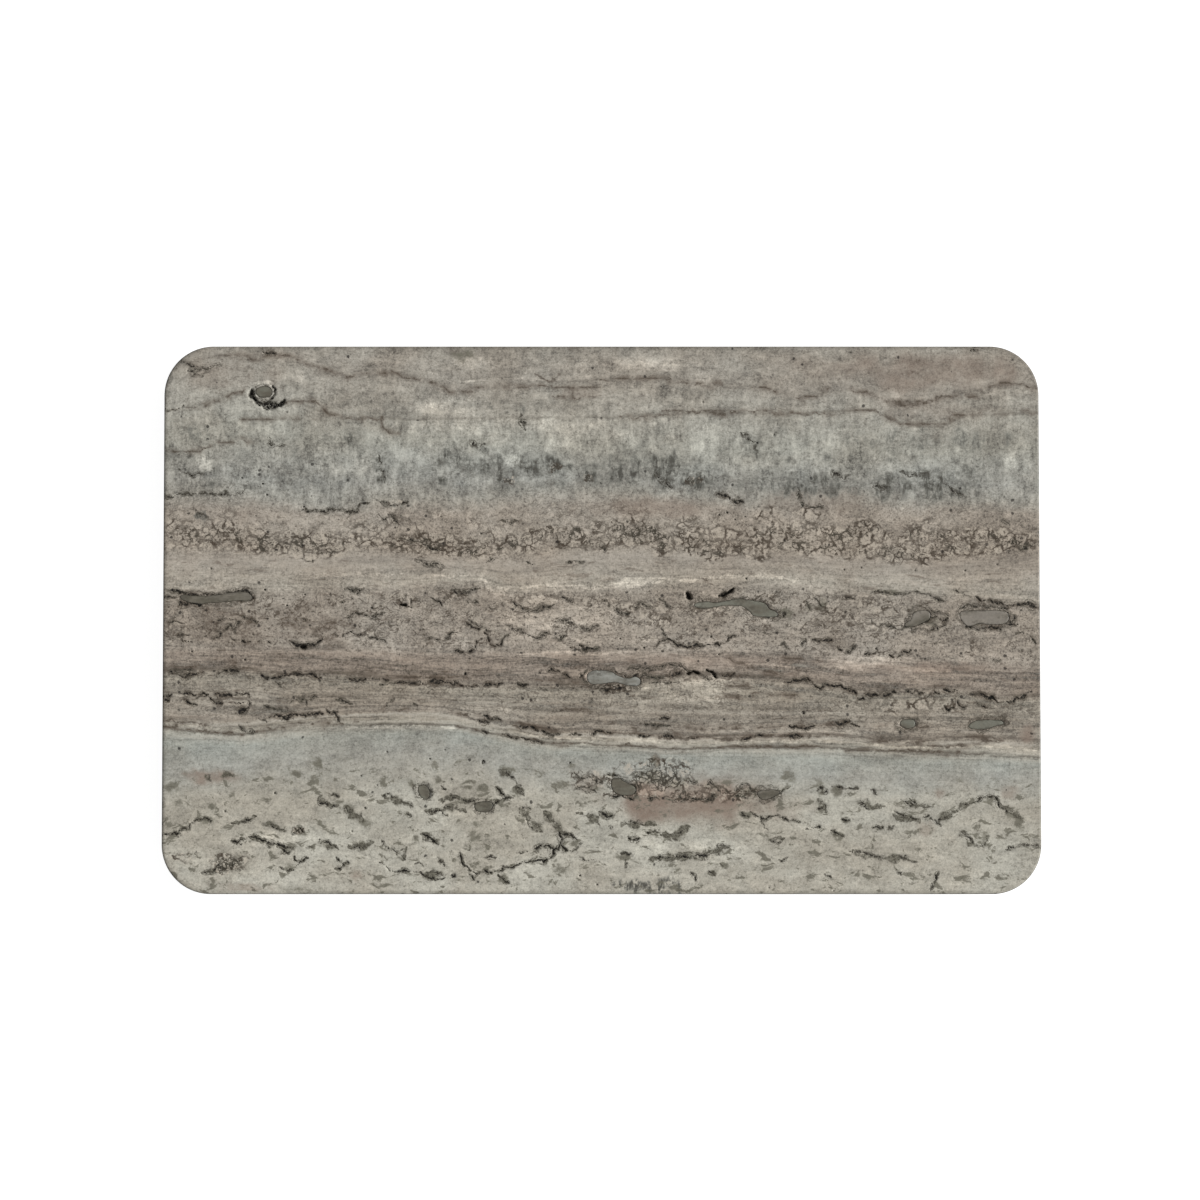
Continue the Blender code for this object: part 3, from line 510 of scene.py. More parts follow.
# Open holes, deep, painted black for their dirt and for the shade inside them
HOLE_LINES = (
    (251, 390, 252, 396, 257, 402, 264, 405, 274, 405, 280, 404, 284, 400), (264, 407, 269, 408),
    (258, 404, 260, 406), (277, 405, 281, 406), (687, 593, 689, 598, 692, 599),
    (719, 596, 725, 595, 731, 592, 734, 589), (687, 674, 692, 672, 698, 674),
    (706, 671, 712, 673, 716, 678), (400, 605, 406, 606), (301, 647, 306, 647),
)

# Chains of pale grains in a dark matrix
CLOT_LINES = (
    (166, 531, 200, 533, 235, 536, 262, 541, 290, 545, 325, 546, 350, 541, 390, 543, 420, 546, 455, 548,
     480, 545, 500, 549, 520, 541, 545, 535, 580, 537, 600, 536, 640, 529, 661, 538, 690, 541, 722, 543),
    (262, 543, 280, 548), (306, 547, 330, 551), (440, 546, 475, 553),
    (772, 528, 800, 533, 840, 535, 870, 535), (836, 549, 870, 551, 900, 554, 930, 553, 962, 546),
    (900, 535, 940, 540, 975, 536, 1000, 538, 1030, 546),
    (660, 545, 700, 549, 740, 549, 780, 546, 836, 551),
)

# Patches, each an oval: the x and y of its middle, half its length, half its width, and its strength
CLOT_AREAS = (
    (268, 545, 10, 8, 1), (318, 547, 12, 9, 1), (215, 533, 8, 5, .8), (232, 540, 8, 6, .8),
    (390, 546, 15, 8, 1), (448, 546, 14, 8, .9), (467, 552, 12, 8, 1), (525, 545, 12, 7, .8),
    (580, 538, 26, 8, 1), (640, 531, 30, 10, 1), (720, 547, 46, 8, .45), (800, 543, 26, 9, .8),
    (855, 531, 25, 8, .9), (895, 552, 12, 8, .9), (945, 539, 10, 9, .8), (975, 536, 14, 8, .8),
    (1005, 540, 10, 7, .7), (350, 545, 200, 8, .5), (610, 538, 60, 14, .6), (800, 540, 240, 13, .5),
    (228, 863, 18, 9, 1), (299, 831, 7, 4, .7), (182, 857, 11, 6, .6), (210, 545, 50, 8, .5),
    (590, 783, 22, 14, .5), (655, 775, 34, 16, 1), (705, 793, 34, 9, .9), (612, 688, 18, 4, 1),
    (780, 515, 60, 9, .4), (200, 628, 30, 6, .5), (640, 610, 60, 18, .35), (850, 608, 60, 18, .35),
    (915, 705, 90, 8, .4),
)
CLOUDS = (
    (172, 455, 10, 6, .7), (188, 455, 8, 5, .8), (217, 472, 6, 8, .8), (378, 463, 5, 13, .9),
    (382, 478, 5, 6, .9), (350, 440, 5, 10, .8), (345, 457, 5, 5, .6), (297, 452, 4, 10, .6),
    (283, 474, 5, 4, .7), (285, 484, 8, 5, .8), (248, 487, 6, 3, .7), (214, 485, 8, 4, .7),
    (237, 482, 6, 4, .5), (405, 470, 8, 6, .6), (440, 482, 8, 5, .7), (452, 447, 6, 8, .6),
    (444, 457, 5, 6, .7), (485, 450, 6, 3, .8), (497, 465, 8, 11, .7), (505, 478, 11, 7, 1),
    (500, 487, 8, 4, .8), (528, 470, 6, 6, .9), (540, 463, 11, 9, .8), (554, 466, 6, 6, 1),
    (556, 484, 12, 5, .6), (569, 467, 10, 4, .9), (588, 476, 9, 6, 1), (582, 462, 6, 5, .7),
    (613, 463, 8, 6, .6), (625, 475, 6, 8, .5), (656, 459, 6, 4, .9), (668, 463, 8, 5, .8),
    (652, 475, 6, 10, .6), (662, 485, 6, 6, .7), (693, 480, 11, 8, 1), (684, 484, 6, 4, .9),
    (712, 482, 8, 6, .7), (716, 470, 5, 6, .5), (757, 442, 5, 5, .5), (755, 455, 8, 8, .5),
    (770, 475, 6, 5, .5), (803, 481, 8, 4, .7), (800, 489, 10, 3, 1), (822, 488, 6, 3, .6),
    (879, 484, 9, 5, .9), (898, 483, 4, 4, .5), (926, 479, 3, 5, .9), (946, 481, 5, 5, 1),
    (938, 487, 4, 3, .9), (958, 485, 6, 4, .6), (975, 478, 8, 8, .6), (995, 467, 5, 8, .5),
    (893, 460, 8, 6, .4), (917, 458, 14, 6, .4), (972, 450, 10, 6, .5), (860, 455, 6, 5, .4),
    (830, 462, 7, 8, .5), (790, 460, 5, 6, .5), (490, 406, 4, 8, .9), (523, 408, 4, 9, .6),
    (630, 401, 5, 12, .5), (672, 405, 6, 6, .5), (724, 426, 5, 6, .4), (500, 468, 75, 18, .7),
    (640, 470, 70, 18, .7), (800, 485, 120, 14, .55), (930, 485, 60, 16, .75), (250, 465, 40, 14, .4),
    (203, 516, 8, 5, .8), (402, 504, 9, 4, .8), (652, 886, 36, 9, 1.15), (600, 760, 90, 8, .2),
    (230, 757, 60, 9, .2), (900, 440, 70, 14, .5), (350, 440, 55, 12, .3), (980, 440, 40, 12, .45),
    (190, 432, 24, 12, .4), (554, 466, 14, 9, 1), (693, 479, 14, 10, 1), (803, 486, 12, 6, 1),
    (588, 476, 11, 8, .7), (505, 479, 14, 9, .9), (382, 470, 6, 16, .6), (183, 357, 20, 7, .3),
)
# Near-black clusters in the crumbly band
BLACK_CLUSTERS = (
    (268, 545, 8, 5, .9), (300, 545, 4, 4, .8), (317, 549, 6, 4, .9), (382, 545, 13, 4, .8),
    (435, 546, 16, 5, .8), (466, 553, 10, 4, .6), (576, 535, 25, 7, .7), (590, 541, 12, 4, .9),
    (636, 531, 24, 9, .7), (650, 541, 14, 4, .8), (847, 533, 13, 3, .8), (872, 528, 9, 6, .7),
    (899, 551, 5, 6, .9), (940, 540, 11, 7, .7), (972, 538, 13, 4, .7), (215, 534, 10, 4, .6),
    (238, 541, 8, 4, .7), (505, 551, 12, 4, .5), (785, 543, 16, 5, .6), (815, 548, 10, 4, .6),
    (228, 863, 15, 8, .8), (655, 778, 26, 12, 1.1), (652, 762, 6, 8, 1), (590, 781, 15, 9, .6),
    (698, 793, 30, 5, .7), (748, 793, 14, 5, .55), (614, 795, 12, 3, .8), (578, 775, 8, 6, .6),
    (588, 480, 5, 4, .7), (554, 467, 5, 4, .9), (693, 481, 6, 5, .9), (395, 504, 9, 3, .4),
    (612, 689, 12, 3, .9), (182, 857, 9, 4, .5), (510, 481, 5, 4, .7),
)
BROWN_STAINS = (
    (198, 363, 11, 5, .9), (317, 405, 11, 5, .8), (325, 415, 5, 4, .7), (235, 661, 7, 6, .6),
    (707, 582, 5, 4, .7), (250, 356, 46, 5, .9), (285, 358, 20, 4, .6), (345, 374, 40, 6, .6),
    (385, 372, 6, 5, .8), (470, 388, 46, 7, .6), (456, 351, 12, 4, .9), (575, 349, 16, 4, .8),
    (616, 350, 5, 4, .8), (640, 349, 6, 2, .7), (682, 349, 5, 3, .9), (805, 352, 6, 3, .6),
    (854, 352, 7, 4, .8), (974, 350, 7, 3, 1), (1013, 782, 9, 8, .7), (1000, 777, 6, 8, .6),
    (970, 775, 7, 9, .5), (840, 791, 7, 6, .5), (205, 515, 16, 6, .5), (181, 858, 14, 7, .6),
    (172, 596, 14, 6, .4), (205, 622, 46, 6, .4), (350, 668, 190, 8, .5), (470, 640, 60, 10, .25),
    (700, 792, 30, 9, .5), (205, 600, 50, 6, .4), (720, 600, 60, 8, .2), (265, 627, 130, 28, .9),
    (325, 640, 60, 10, .3), (934, 438, 7, 7, .6), (787, 358, 8, 9, .4), (940, 398, 20, 5, .6),
    (1005, 384, 22, 5, .7), (880, 368, 12, 10, .3), (900, 404, 30, 5, .4), (550, 362, 8, 12, .4),
    (220, 660, 60, 6, .5), (380, 697, 95, 9, .5), (330, 418, 40, 6, .4), (240, 396, 12, 5, .4),
    (815, 416, 120, 5, .3), (420, 548, 250, 7, .4), (800, 542, 240, 8, .4),
)
BLUSHES = (
    (650, 800, 50, 25, .9), (702, 802, 60, 26, .85), (752, 804, 62, 20, .5), (588, 782, 16, 14, .4),
    (700, 780, 70, 12, .35), (245, 887, 36, 5, .6), (210, 777, 32, 9, .7), (940, 793, 8, 8, .6),
    (925, 830, 12, 11, .5), (1010, 793, 12, 8, .6), (356, 875, 8, 6, .6), (1028, 735, 10, 10, .7),
    (1000, 753, 6, 2, .8), (940, 668, 100, 7, .45), (700, 662, 120, 8, .4), (660, 508, 90, 14, .5),
    (820, 500, 90, 14, .4), (580, 393, 30, 9, .35), (930, 372, 110, 22, .5), (225, 375, 70, 18, .35),
    (800, 362, 30, 14, .3), (940, 412, 80, 12, .3), (240, 515, 70, 14, .3),
)
PALE_AREAS = (
    (513, 460, 10, 8, 1), (205, 463, 10, 9, .8), (300, 375, 6, 12, .5), (470, 363, 26, 8, .6),
    (660, 423, 12, 8, .6), (867, 465, 5, 8, .6), (1010, 460, 9, 9, .7), (897, 393, 10, 8, .6),
    (700, 382, 18, 4, .7), (590, 368, 40, 9, .5), (765, 622, 12, 3, .8), (797, 689, 5, 3, .9),
    (695, 690, 28, 11, .7), (640, 650, 120, 3, .3), (760, 690, 40, 9, .4), (560, 425, 90, 14, .5),
    (450, 420, 50, 18, .5), (700, 430, 60, 14, .3), (560, 697, 60, 6, .3), (985, 650, 40, 10, .3),
    (280, 838, 60, 14, .4), (700, 850, 60, 14, .4), (450, 815, 60, 9, .3), (905, 700, 60, 6, .3),
    (610, 435, 30, 12, .4), (250, 425, 60, 12, .3), (935, 430, 70, 10, .3), (499, 594, 8, 8, .9),
    (390, 395, 12, 14, .4), (655, 364, 70, 9, .7), (450, 405, 45, 12, .6), (605, 438, 80, 12, .4),
    (580, 393, 30, 8, .3), (650, 792, 20, 4, 1.3), (652, 778, 26, 10, .5), (620, 640, 120, 14, .5),
    (700, 690, 55, 13, .75), (615, 700, 60, 8, .4), (350, 465, 30, 12, .4), (262, 470, 12, 10, .6),
    (820, 664, 200, 10, .5), (560, 612, 100, 18, .75), (870, 440, 60, 10, .3), (835, 392, 12, 8, .3),
)
OLIVE_PATCHES = (
    (232, 795, 4, 6, 1), (212, 807, 4, 5, 1), (178, 803, 4, 4, .8), (268, 779, 7, 3, 1),
    (296, 774, 6, 4, .9), (317, 764, 5, 5, 1), (411, 783, 5, 4, .9), (438, 780, 4, 4, .9),
    (467, 787, 6, 3, 1), (482, 788, 7, 4, 1), (519, 790, 7, 6, .9), (478, 824, 5, 3, .8),
    (476, 836, 7, 5, 1), (416, 838, 3, 3, .8), (408, 815, 4, 4, .8), (434, 875, 11, 5, .9),
    (503, 878, 5, 5, .9), (558, 826, 4, 5, .8), (560, 870, 11, 5, .9), (565, 784, 6, 5, .9),
    (571, 766, 6, 3, .8), (607, 814, 8, 3, .9), (625, 856, 8, 5, .9), (724, 865, 5, 4, .9),
    (712, 873, 5, 4, .9), (838, 836, 6, 5, 1), (837, 791, 6, 6, 1), (789, 777, 9, 8, .8),
    (746, 815, 7, 4, .9), (821, 790, 5, 5, .8), (822, 809, 5, 4, .8), (1010, 812, 6, 5, .9),
    (1019, 824, 5, 7, 1), (987, 840, 5, 9, .8), (366, 823, 6, 6, .8), (299, 831, 7, 4, .9),
    (300, 888, 30, 4, .4), (171, 787, 10, 6, 1), (907, 817, 8, 4, 1), (286, 847, 8, 4, 1),
    (362, 845, 6, 5, .9), (206, 820, 8, 4, 1), (400, 855, 4, 5, .9), (438, 842, 4, 3, .4),
    (346, 864, 5, 4, .9), (290, 868, 8, 4, 1), (508, 770, 8, 4, .8), (655, 762, 5, 8, .9),
    (464, 354, 17, 5, .9), (784, 614, 9, 7, .6), (809, 607, 5, 5, .7), (822, 606, 7, 7, .6),
    (892, 593, 16, 3, .6), (930, 622, 16, 5, .6), (650, 777, 20, 9, .45), (676, 784, 16, 6, .5),
    (656, 762, 4, 6, .7), (712, 788, 12, 7, .5), (748, 792, 10, 5, .7),
)


def stone_place(px, py):
    """The place on the face, in metres, that the photograph shows at a pixel."""
    half = PHOTO_HALF_LENGTH + PHOTO_WIDENING * (py - PHOTO_MID_Y)
    x = (px - PHOTO_MID_X) / half * LENGTH / 2
    y = (PHOTO_MID_Y - py) / (PHOTO_FRONT_Y - PHOTO_BACK_Y) * WIDTH
    return x, y


def photo_place(x, y):
    """The pixel of the photograph that shows a place on the face."""
    py = PHOTO_MID_Y - y / WIDTH * (PHOTO_FRONT_Y - PHOTO_BACK_Y)
    half = PHOTO_HALF_LENGTH + PHOTO_WIDENING * (py - PHOTO_MID_Y)
    return PHOTO_MID_X + x / (LENGTH / 2) * half, py


def wobble(x, y, cell, seed):
    """A smooth random field from -1 to 1: values on a square lattice of that cell, eased in between."""
    u = np.asarray(x, float) / cell + SEED_SHIFT_X * seed
    v = np.asarray(y, float) / cell + SEED_SHIFT_Y * seed
    i = np.floor(u).astype(int)
    j = np.floor(v).astype(int)
    s = u - i
    t = v - j
    s = s * s * (3 - 2 * s)
    t = t * t * (3 - 2 * t)

    def corner(di, dj):
        """The number at one corner of each place's square."""
        return RANDOM_TABLE[(j + dj) % LATTICE, (i + di) % LATTICE]

    near = corner(0, 0) * (1 - s) + corner(1, 0) * s
    far = corner(0, 1) * (1 - s) + corner(1, 1) * s
    return near * (1 - t) + far * t


def eased(value, low, high):
    """0 up to low, 1 from high on, and a smooth rise in between."""
    share = np.clip((value - low) / (high - low), 0, 1)
    return share * share * (3 - 2 * share)


def bed_at(x, y, z):
    """How many of the photograph's pixels of stone lie behind a place, counted from horizon to horizon.

    The place is first slid along the beds' lean up to the face. Between two horizons it counts the share of
    the way from one to the next, times that bed's usual thickness.
    """
    px, py = photo_place(x, y - (TOP - z) * BED_LEAN)
    heights = [np.interp(px, line[::2], line[1::2]) for line in HORIZONS]
    bed = np.zeros_like(px)
    for behind, ahead, thickness in zip(heights, heights[1:], BED_THICKNESSES):
        bed += np.clip((py - behind) / (ahead - behind), 0, 1) * thickness
    return bed


# Drawing on the maps
def blank():
    """A map that is 0 at every node."""
    return np.zeros((ROWS, COLUMNS))


def node_place(x, y):
    """The column and row of the maps, as real numbers, at a place on the face."""
    return (x + LENGTH / 2) / STEP_X, (y + WIDTH / 2) / STEP_Y


def walk(line, seed, sway):
    """Points every half pixel along a line, swayed by smooth random fields, and each one's way to an end."""
    points = np.reshape(line, (-1, 2)).astype(float)
    lengths = np.hypot(*np.diff(points, axis=0).T)
    ends = np.concatenate(([0], np.cumsum(lengths)))
    along = np.linspace(0, ends[-1], max(2, int(ends[-1] * POINTS_PER_PIXEL)))
    px = np.interp(along, ends, points[:, 0])
    py = np.interp(along, ends, points[:, 1])
    swayed = []
    for way, place in enumerate((px, py)):
        broad = wobble(px, py, BROAD_SWAY_CELLS[way], seed + 2 * way)
        fine = wobble(px, py, FINE_SWAY_CELLS[way], seed + 2 * way + 1)
        swayed.append(place + sway * (broad + FINE_SWAY * fine))
    return *swayed, np.minimum(along, ends[-1] - along)


def draw_lines(target, lines, half_width, strength, seed, sway, unevenness):
    """Draws lines that swell and thin: a node's value falls with its distance over the half width."""
    columns, rows, widths = [], [], []
    for line in lines:
        px, py, from_end = walk(line, seed, sway)
        broad = wobble(px, py, BROAD_SWELL_CELL, seed + 4)
        fine = wobble(px, py, FINE_SWELL_CELL, seed + 5)
        swell = 1 + unevenness * broad + FINE_SHARE * unevenness * fine
        taper = END_WIDTH + (1 - END_WIDTH) * np.clip(from_end / TAPER_LENGTH, 0, 1)
        column, row = node_place(*stone_place(px, py))
        columns.append(column)
        rows.append(row)
        widths.append(half_width * swell * taper * PIXEL / STEP_X)
    column = np.concatenate(columns)
    row = np.concatenate(rows)
    width = np.maximum(np.concatenate(widths), THINNEST)
    near_column = np.round(column).astype(int)
    near_row = np.round(row).astype(int)
    reach = int(np.ceil(LINE_REACH * width.max()))
    for down in range(-reach, reach + 1):
        for across in range(-reach, reach + 1):
            at_column = near_column + across
            at_row = near_row + down
            far = np.hypot(at_column - column, at_row - row) / width
            value = strength * np.clip(LINE_REACH - far, 0, 1)
            inside = (at_column >= 0) & (at_column < COLUMNS) & (at_row >= 0) & (at_row < ROWS)
            inside &= value > 0
            np.maximum.at(target, (at_row[inside], at_column[inside]), value[inside])


def draw_patches(target, patches, seed, roughness):
    """Draws ovals with uneven edges: full strength in the middle, falling to nothing at the edge."""
    for px, py, half_length, half_width, strength in patches:
        column, row = node_place(*stone_place(px, py))
        reach_x = half_length * PIXEL / STEP_X * OVAL_REACH + OVAL_MARGIN
        reach_y = half_width * PIXEL / STEP_Y * OVAL_REACH + OVAL_MARGIN
        c0, c1 = max(0, int(column - reach_x)), min(COLUMNS, int(column + reach_x) + 1)
        r0, r1 = max(0, int(row - reach_y)), min(ROWS, int(row + reach_y) + 1)
        across, down = np.meshgrid(np.arange(c0, c1), np.arange(r0, r1))
        dx = (across - column) * STEP_X / PIXEL / half_length
        dy = (down - row) * STEP_Y / PIXEL / half_width
        cell = max(SMALLEST_OVAL_CELL, min(half_length, half_width))
        broad = wobble(across, down, cell, seed)
        fine = wobble(across, down, cell * FINE_OVAL_CELL, seed + 1)
        far = np.hypot(dx, dy) + roughness * broad + FINE_SHARE * roughness * fine
        value = strength * (1 - eased(far, OVAL_FULL, OVAL_END))
        target[r0:r1, c0:c1] = np.maximum(target[r0:r1, c0:c1], value)


def draw_pits(target, pits, width, seed):
    """Draws round pits of about that width."""
    points = np.reshape(pits, (-1, 2))
    half = width / 2 * (1 + PIT_VARIATION * wobble(*points.T, PIT_CELL, seed))
    patches = [(px, py, r, r, 1) for (px, py), r in zip(points, half)]
    draw_patches(target, patches, seed, PIT_ROUGHNESS)


def filling_rims(outlines):
    """Each filling's outline, closed, as a line of pixels just outside its groove."""
    rims = []
    for outline in outlines:
        ring = moved_out(outline, GROOVE + RIM_LINE_MARGIN)
        px, py = photo_place(*np.concatenate([ring, ring[:1]]).T)
        rims.append(np.column_stack([px, py]).ravel())
    return rims


def stone_maps(outlines):
    """Every map of the face by name: what each node holds, from 0 to 1, and its depth in metres.

    Each line and oval is drawn where it is stronger than what the node holds already.
    """
    rims = filling_rims(outlines)
    # The map, the lines, their half width in pixels, their strength, seed, sway and unevenness
    lines_drawn = (
        ("holes", HOLE_LINES, 2.4, 1.0, 3, 0.5, 0.7),
        ("cracks", BACK_CRACKS, 1.1, 1.0, 11, 1.3, 1.0),
        ("cracks", FRONT_CRACKS, 0.8, 1.0, 11, 1.3, 0.8),
        ("cracks", EDGE_LINES, 1.4, 1.0, 12, 0.4, 0.7),
        ("cracks", rims, 0.8, 0.2, 13, 0.6, 1.2),
        ("fine", FINE_CRACKS, 0.85, 0.75, 23, 1.3, 1.1),
        ("fine", CRUMB_LINES, 0.85, 0.7, 24, 1.6, 1.0),
        ("vein", VEINS, 2.4, 0.9, 41, 1.2, 0.7),
        ("vein", VEINS, 5.0, 0.35, 41, 1.2, 0.7),
        ("vein", BACK_CRACKS, 3.0, 0.6, 11, 1.3, 0.7),
        ("vein", rims, 2.2, 0.35, 13, 0.6, 1.2),
        ("cream", CREAM_LINES, 1.6, 0.75, 47, 0.5, 0.7),
        ("cream", CREAM_BANDS, 2.0, 1.0, 48, 0.8, 0.7),
        ("cream", PALE_SEAMS, 1.6, 1.0, 53, 1.3, 0.7),
        ("olive", FRONT_CRACKS, 1.5, 0.55, 11, 1.3, 1.6),
        ("olive", OLIVE_VEINS, 2.2, 0.75, 68, 1.3, 1.3),
        ("olive", FINE_CRACKS, 1.3, 0.3, 23, 1.3, 1.3),
        ("lace", FRONT_CRACKS, 1.9, 0.8, 11, 1.3, 1.2),
        ("lace", OLIVE_VEINS, 2.0, 0.7, 68, 1.3, 1.0),
        ("lace", BACK_CRACKS, 2.2, 0.8, 11, 1.3, 1.0),
        ("lace", FINE_CRACKS, 1.6, 0.7, 23, 1.3, 1.0),
        ("lace", CRUMB_LINES, 1.8, 0.7, 24, 1.6, 1.0),
        ("lace", rims, 2.4, 0.75, 13, 0.6, 1.0),
        ("clots", CLOT_LINES, 7.0, 1.0, 72, 2.5, 0.7),
    )
    # The map, the ovals, their seed and how rough their edges are
    ovals_drawn = (
        ("stains", BROWN_STAINS, 43, 0.35),
        ("cream", PALE_AREAS, 59, 0.35),
        ("olive", OLIVE_PATCHES, 61, 0.35),
        ("clots", CLOT_AREAS, 71, 0.5),
        ("clusters", BLACK_CLUSTERS, 19, 0.7),
        ("cloud", CLOUDS, 73, 0.5),
        ("blush", BLUSHES, 79, 0.3),
    )
    maps = {row[0]: blank() for row in lines_drawn + ovals_drawn}
    for name, lines, half_width, strength, seed, sway, unevenness in lines_drawn:
        draw_lines(maps[name], lines, half_width, strength, seed, sway, unevenness)
    for name, patches, seed, roughness in ovals_drawn:
        draw_patches(maps[name], patches, seed, roughness)
    draw_pits(maps["cracks"], SMALL_PITS, SMALL_PIT_WIDTH, 17)
    draw_pits(maps["cracks"], WIDE_PITS, WIDE_PIT_WIDTH, 18)
    holes, cracks, fine = maps.pop("holes"), maps.pop("cracks"), maps.pop("fine")
    maps["vein"] = np.maximum(maps["vein"], STAIN_GAIN * maps.pop("stains"))
    maps["clots"] = np.maximum(CLOT_GAIN * maps["clots"], CLUSTER_GAIN * maps.pop("clusters"))
    # Dirt, and the shade painted into holes, cracks and pits
    maps["dirt_and_hollow_shade"] = np.maximum(np.maximum(holes, cracks), fine)
    maps["depth"] = np.maximum(HOLE_DEPTH * holes ** HOLE_POWER, CRACK_DEPTH * cracks ** CRACK_POWER)
    maps["depth"] = np.maximum(maps["depth"], FINE_CRACK_DEPTH * fine)
    return maps


def read_map(values, x, y):
    """A map's value at places between its nodes, shared out among the four nodes round each."""
    column, row = node_place(x, y)
    column = np.clip(column, 0, COLUMNS - 1 - JUST_INSIDE)
    row = np.clip(row, 0, ROWS - 1 - JUST_INSIDE)
    c = column.astype(int)
    r = row.astype(int)
    s = column - c
    t = row - r
    near = values[r, c] * (1 - s) + values[r, c + 1] * s
    far = values[r + 1, c] * (1 - s) + values[r + 1, c + 1] * s
    return near * (1 - t) + far * t


# Outlines
def from_edge(x, y):
    """How far inside the slab's rounded outline a place lies."""
    over_x = np.abs(x) - (LENGTH / 2 - CORNER_RADIUS)
    over_y = np.abs(y) - (WIDTH / 2 - CORNER_RADIUS)
    corner = np.hypot(np.maximum(over_x, 0), np.maximum(over_y, 0))
    return CORNER_RADIUS - corner - np.minimum(np.maximum(over_x, over_y), 0)


def rim_places(per_quarter):
    """Evenly spaced places round the slab: the point that each is struck from, and its outward direction.

    The outline is four like quarters. Each goes from the middle of a short side to the corner, round the
    corner's arc, and on to the middle of a long side.
    """
    flat_x = LENGTH / 2 - CORNER_RADIUS
    flat_y = WIDTH / 2 - CORNER_RADIUS
    arc = CORNER_RADIUS * math.pi / 2
    quarter = flat_x + arc + flat_y
    along = np.arange(4 * per_quarter) * quarter / per_quarter
    half_turn = along % (2 * quarter)
    folded = np.minimum(half_turn, 2 * quarter - half_turn)
    rise = np.clip(folded, 0, flat_y)
    angle = np.clip((folded - flat_y) / CORNER_RADIUS, 0, math.pi / 2)
    run = flat_x - np.clip(folded - flat_y - arc, 0, flat_x)
    left = (along > quarter) & (along < 3 * quarter)
    front = along > 2 * quarter
    signs = np.stack([np.where(left, -1, 1), np.where(front, -1, 1)], 1)
    struck = signs * np.stack([run, rise], 1)
    outward = signs * np.stack([np.cos(angle), np.sin(angle)], 1)
    return struck, outward


def curve_through(points, spacing):
    """A closed curve through the points, with a point about every spacing.

    At each point it runs along the line that joins the two neighbours. Each piece is a cubic whose speed at
    both ends is the length of its chord.
    """
    ahead = np.roll(points, -1, axis=0)
    heading = ahead - np.roll(points, 1, axis=0)
    heading /= np.hypot(*heading.T)[:, None]
    pieces = []
    for start, end, first, last in zip(points, ahead, heading, np.roll(heading, -1, axis=0)):
        chord = np.hypot(*(end - start))
        t = np.linspace(0, 1, max(1, int(chord / spacing)) + 1)[:-1, None]
        share = t * t * (3 - 2 * t)
        bend = first * t * (1 - t) ** 2 - last * t ** 2 * (1 - t)
        pieces.append(start * (1 - share) + end * share + bend * chord)
    return np.concatenate(pieces)


def evenly_spaced(outline, spacing):
    """The same closed outline with points at equal steps along it."""
    closed = np.concatenate([outline, outline[:1]])
    ends = np.concatenate(([0], np.cumsum(np.hypot(*np.diff(closed, axis=0).T))))
    count = int(ends[-1] / spacing)
    along = np.arange(count) / count * ends[-1]
    return np.stack([np.interp(along, ends, closed[:, k]) for k in (0, 1)], 1)


def moved_out(outline, distance):
    """An outline, counterclockwise, moved outwards by a distance, which may change along it."""
    run = np.roll(outline, -1, axis=0) - np.roll(outline, 1, axis=0)
    out = np.stack([run[:, 1], -run[:, 0]], 1) / np.hypot(*run.T)[:, None]
    return outline + out * np.reshape(distance, (-1, 1))


def within(outline, x, y):
    """Which places lie inside an outline: a ray from there to the right crosses it an odd number of times."""
    x0, y0 = outline.T[:, None, :]
    x1, y1 = np.roll(outline, -1, axis=0).T[:, None, :]
    straddles = (y0 > y[:, None]) != (y1 > y[:, None])
    with np.errstate(divide="ignore", invalid="ignore"):
        crossing = x0 + (y[:, None] - y0) / (y1 - y0) * (x1 - x0)
    return ((x[:, None] < crossing) & straddles).sum(1) % 2 == 1


def filling_outline(name):
    """The outline of a packed filling, smoothed and made a little uneven, counterclockwise."""
    bm = bmesh.new()
    bm.from_mesh(frame["nodes"][name].data)
    bmesh.ops.remove_doubles(bm, verts=bm.verts, dist=WELD)
    bm.normal_update()
    follows = {}
    for face in bm.faces:
        if face.normal.z < LEVEL:
            continue
        for loop in face.loops:
            across = [other for other in loop.edge.link_faces if other is not face]
            if across[0].normal.z < STEEP:
                follows[loop.vert] = loop.link_loop_next.vert
    first = next(iter(follows))
    order = [first]
    while follows[order[-1]] is not first:
        order.append(follows[order[-1]])
    points = np.array([vert.co.xy for vert in order])
    bm.free()
    even = evenly_spaced(curve_through(points, CURVE_SPACING), OUTLINE_SPACING)
    for _ in range(SMOOTHINGS):
        even = (np.roll(even, 1, axis=0) + 2 * even + np.roll(even, -1, axis=0)) / 4
    uneven = OUTLINE_WOBBLE * wobble(*even.T, OUTLINE_CELL, seed=3)
    return moved_out(even, uneven - OUTLINE_INSET)


# Meshes
def new_object(name, vertices, faces, material):
    """A smooth-shaded object, at the origin, from its points, its faces and its material."""
    mesh = bpy.data.meshes.new(name)
    mesh.from_pydata([tuple(v) for v in vertices.tolist()], [], faces)
    mesh.materials.append(material)
    mesh.validate()
    mesh.polygons.foreach_set("use_smooth", [True] * len(mesh.polygons))
    piece = bpy.data.objects.new(name, mesh)
    bpy.context.scene.collection.objects.link(piece)
    return piece


def hold_values(piece, values):
    """Writes one number for each point of a mesh into an attribute of each name."""
    for name, numbers in values.items():
        held = piece.data.attributes.new(name, "FLOAT", "POINT")
        held.data.foreach_set("value", numbers.astype(np.float32))


def at_height(flat, height):
    """Flat points lifted to one height."""
    return np.column_stack([flat, np.full(len(flat), height)])


def band(upper, lower):
    """Quads between two rings that are given by their points' numbers."""
    return np.stack([upper, lower, np.roll(lower, -1), np.roll(upper, -1)], 1)


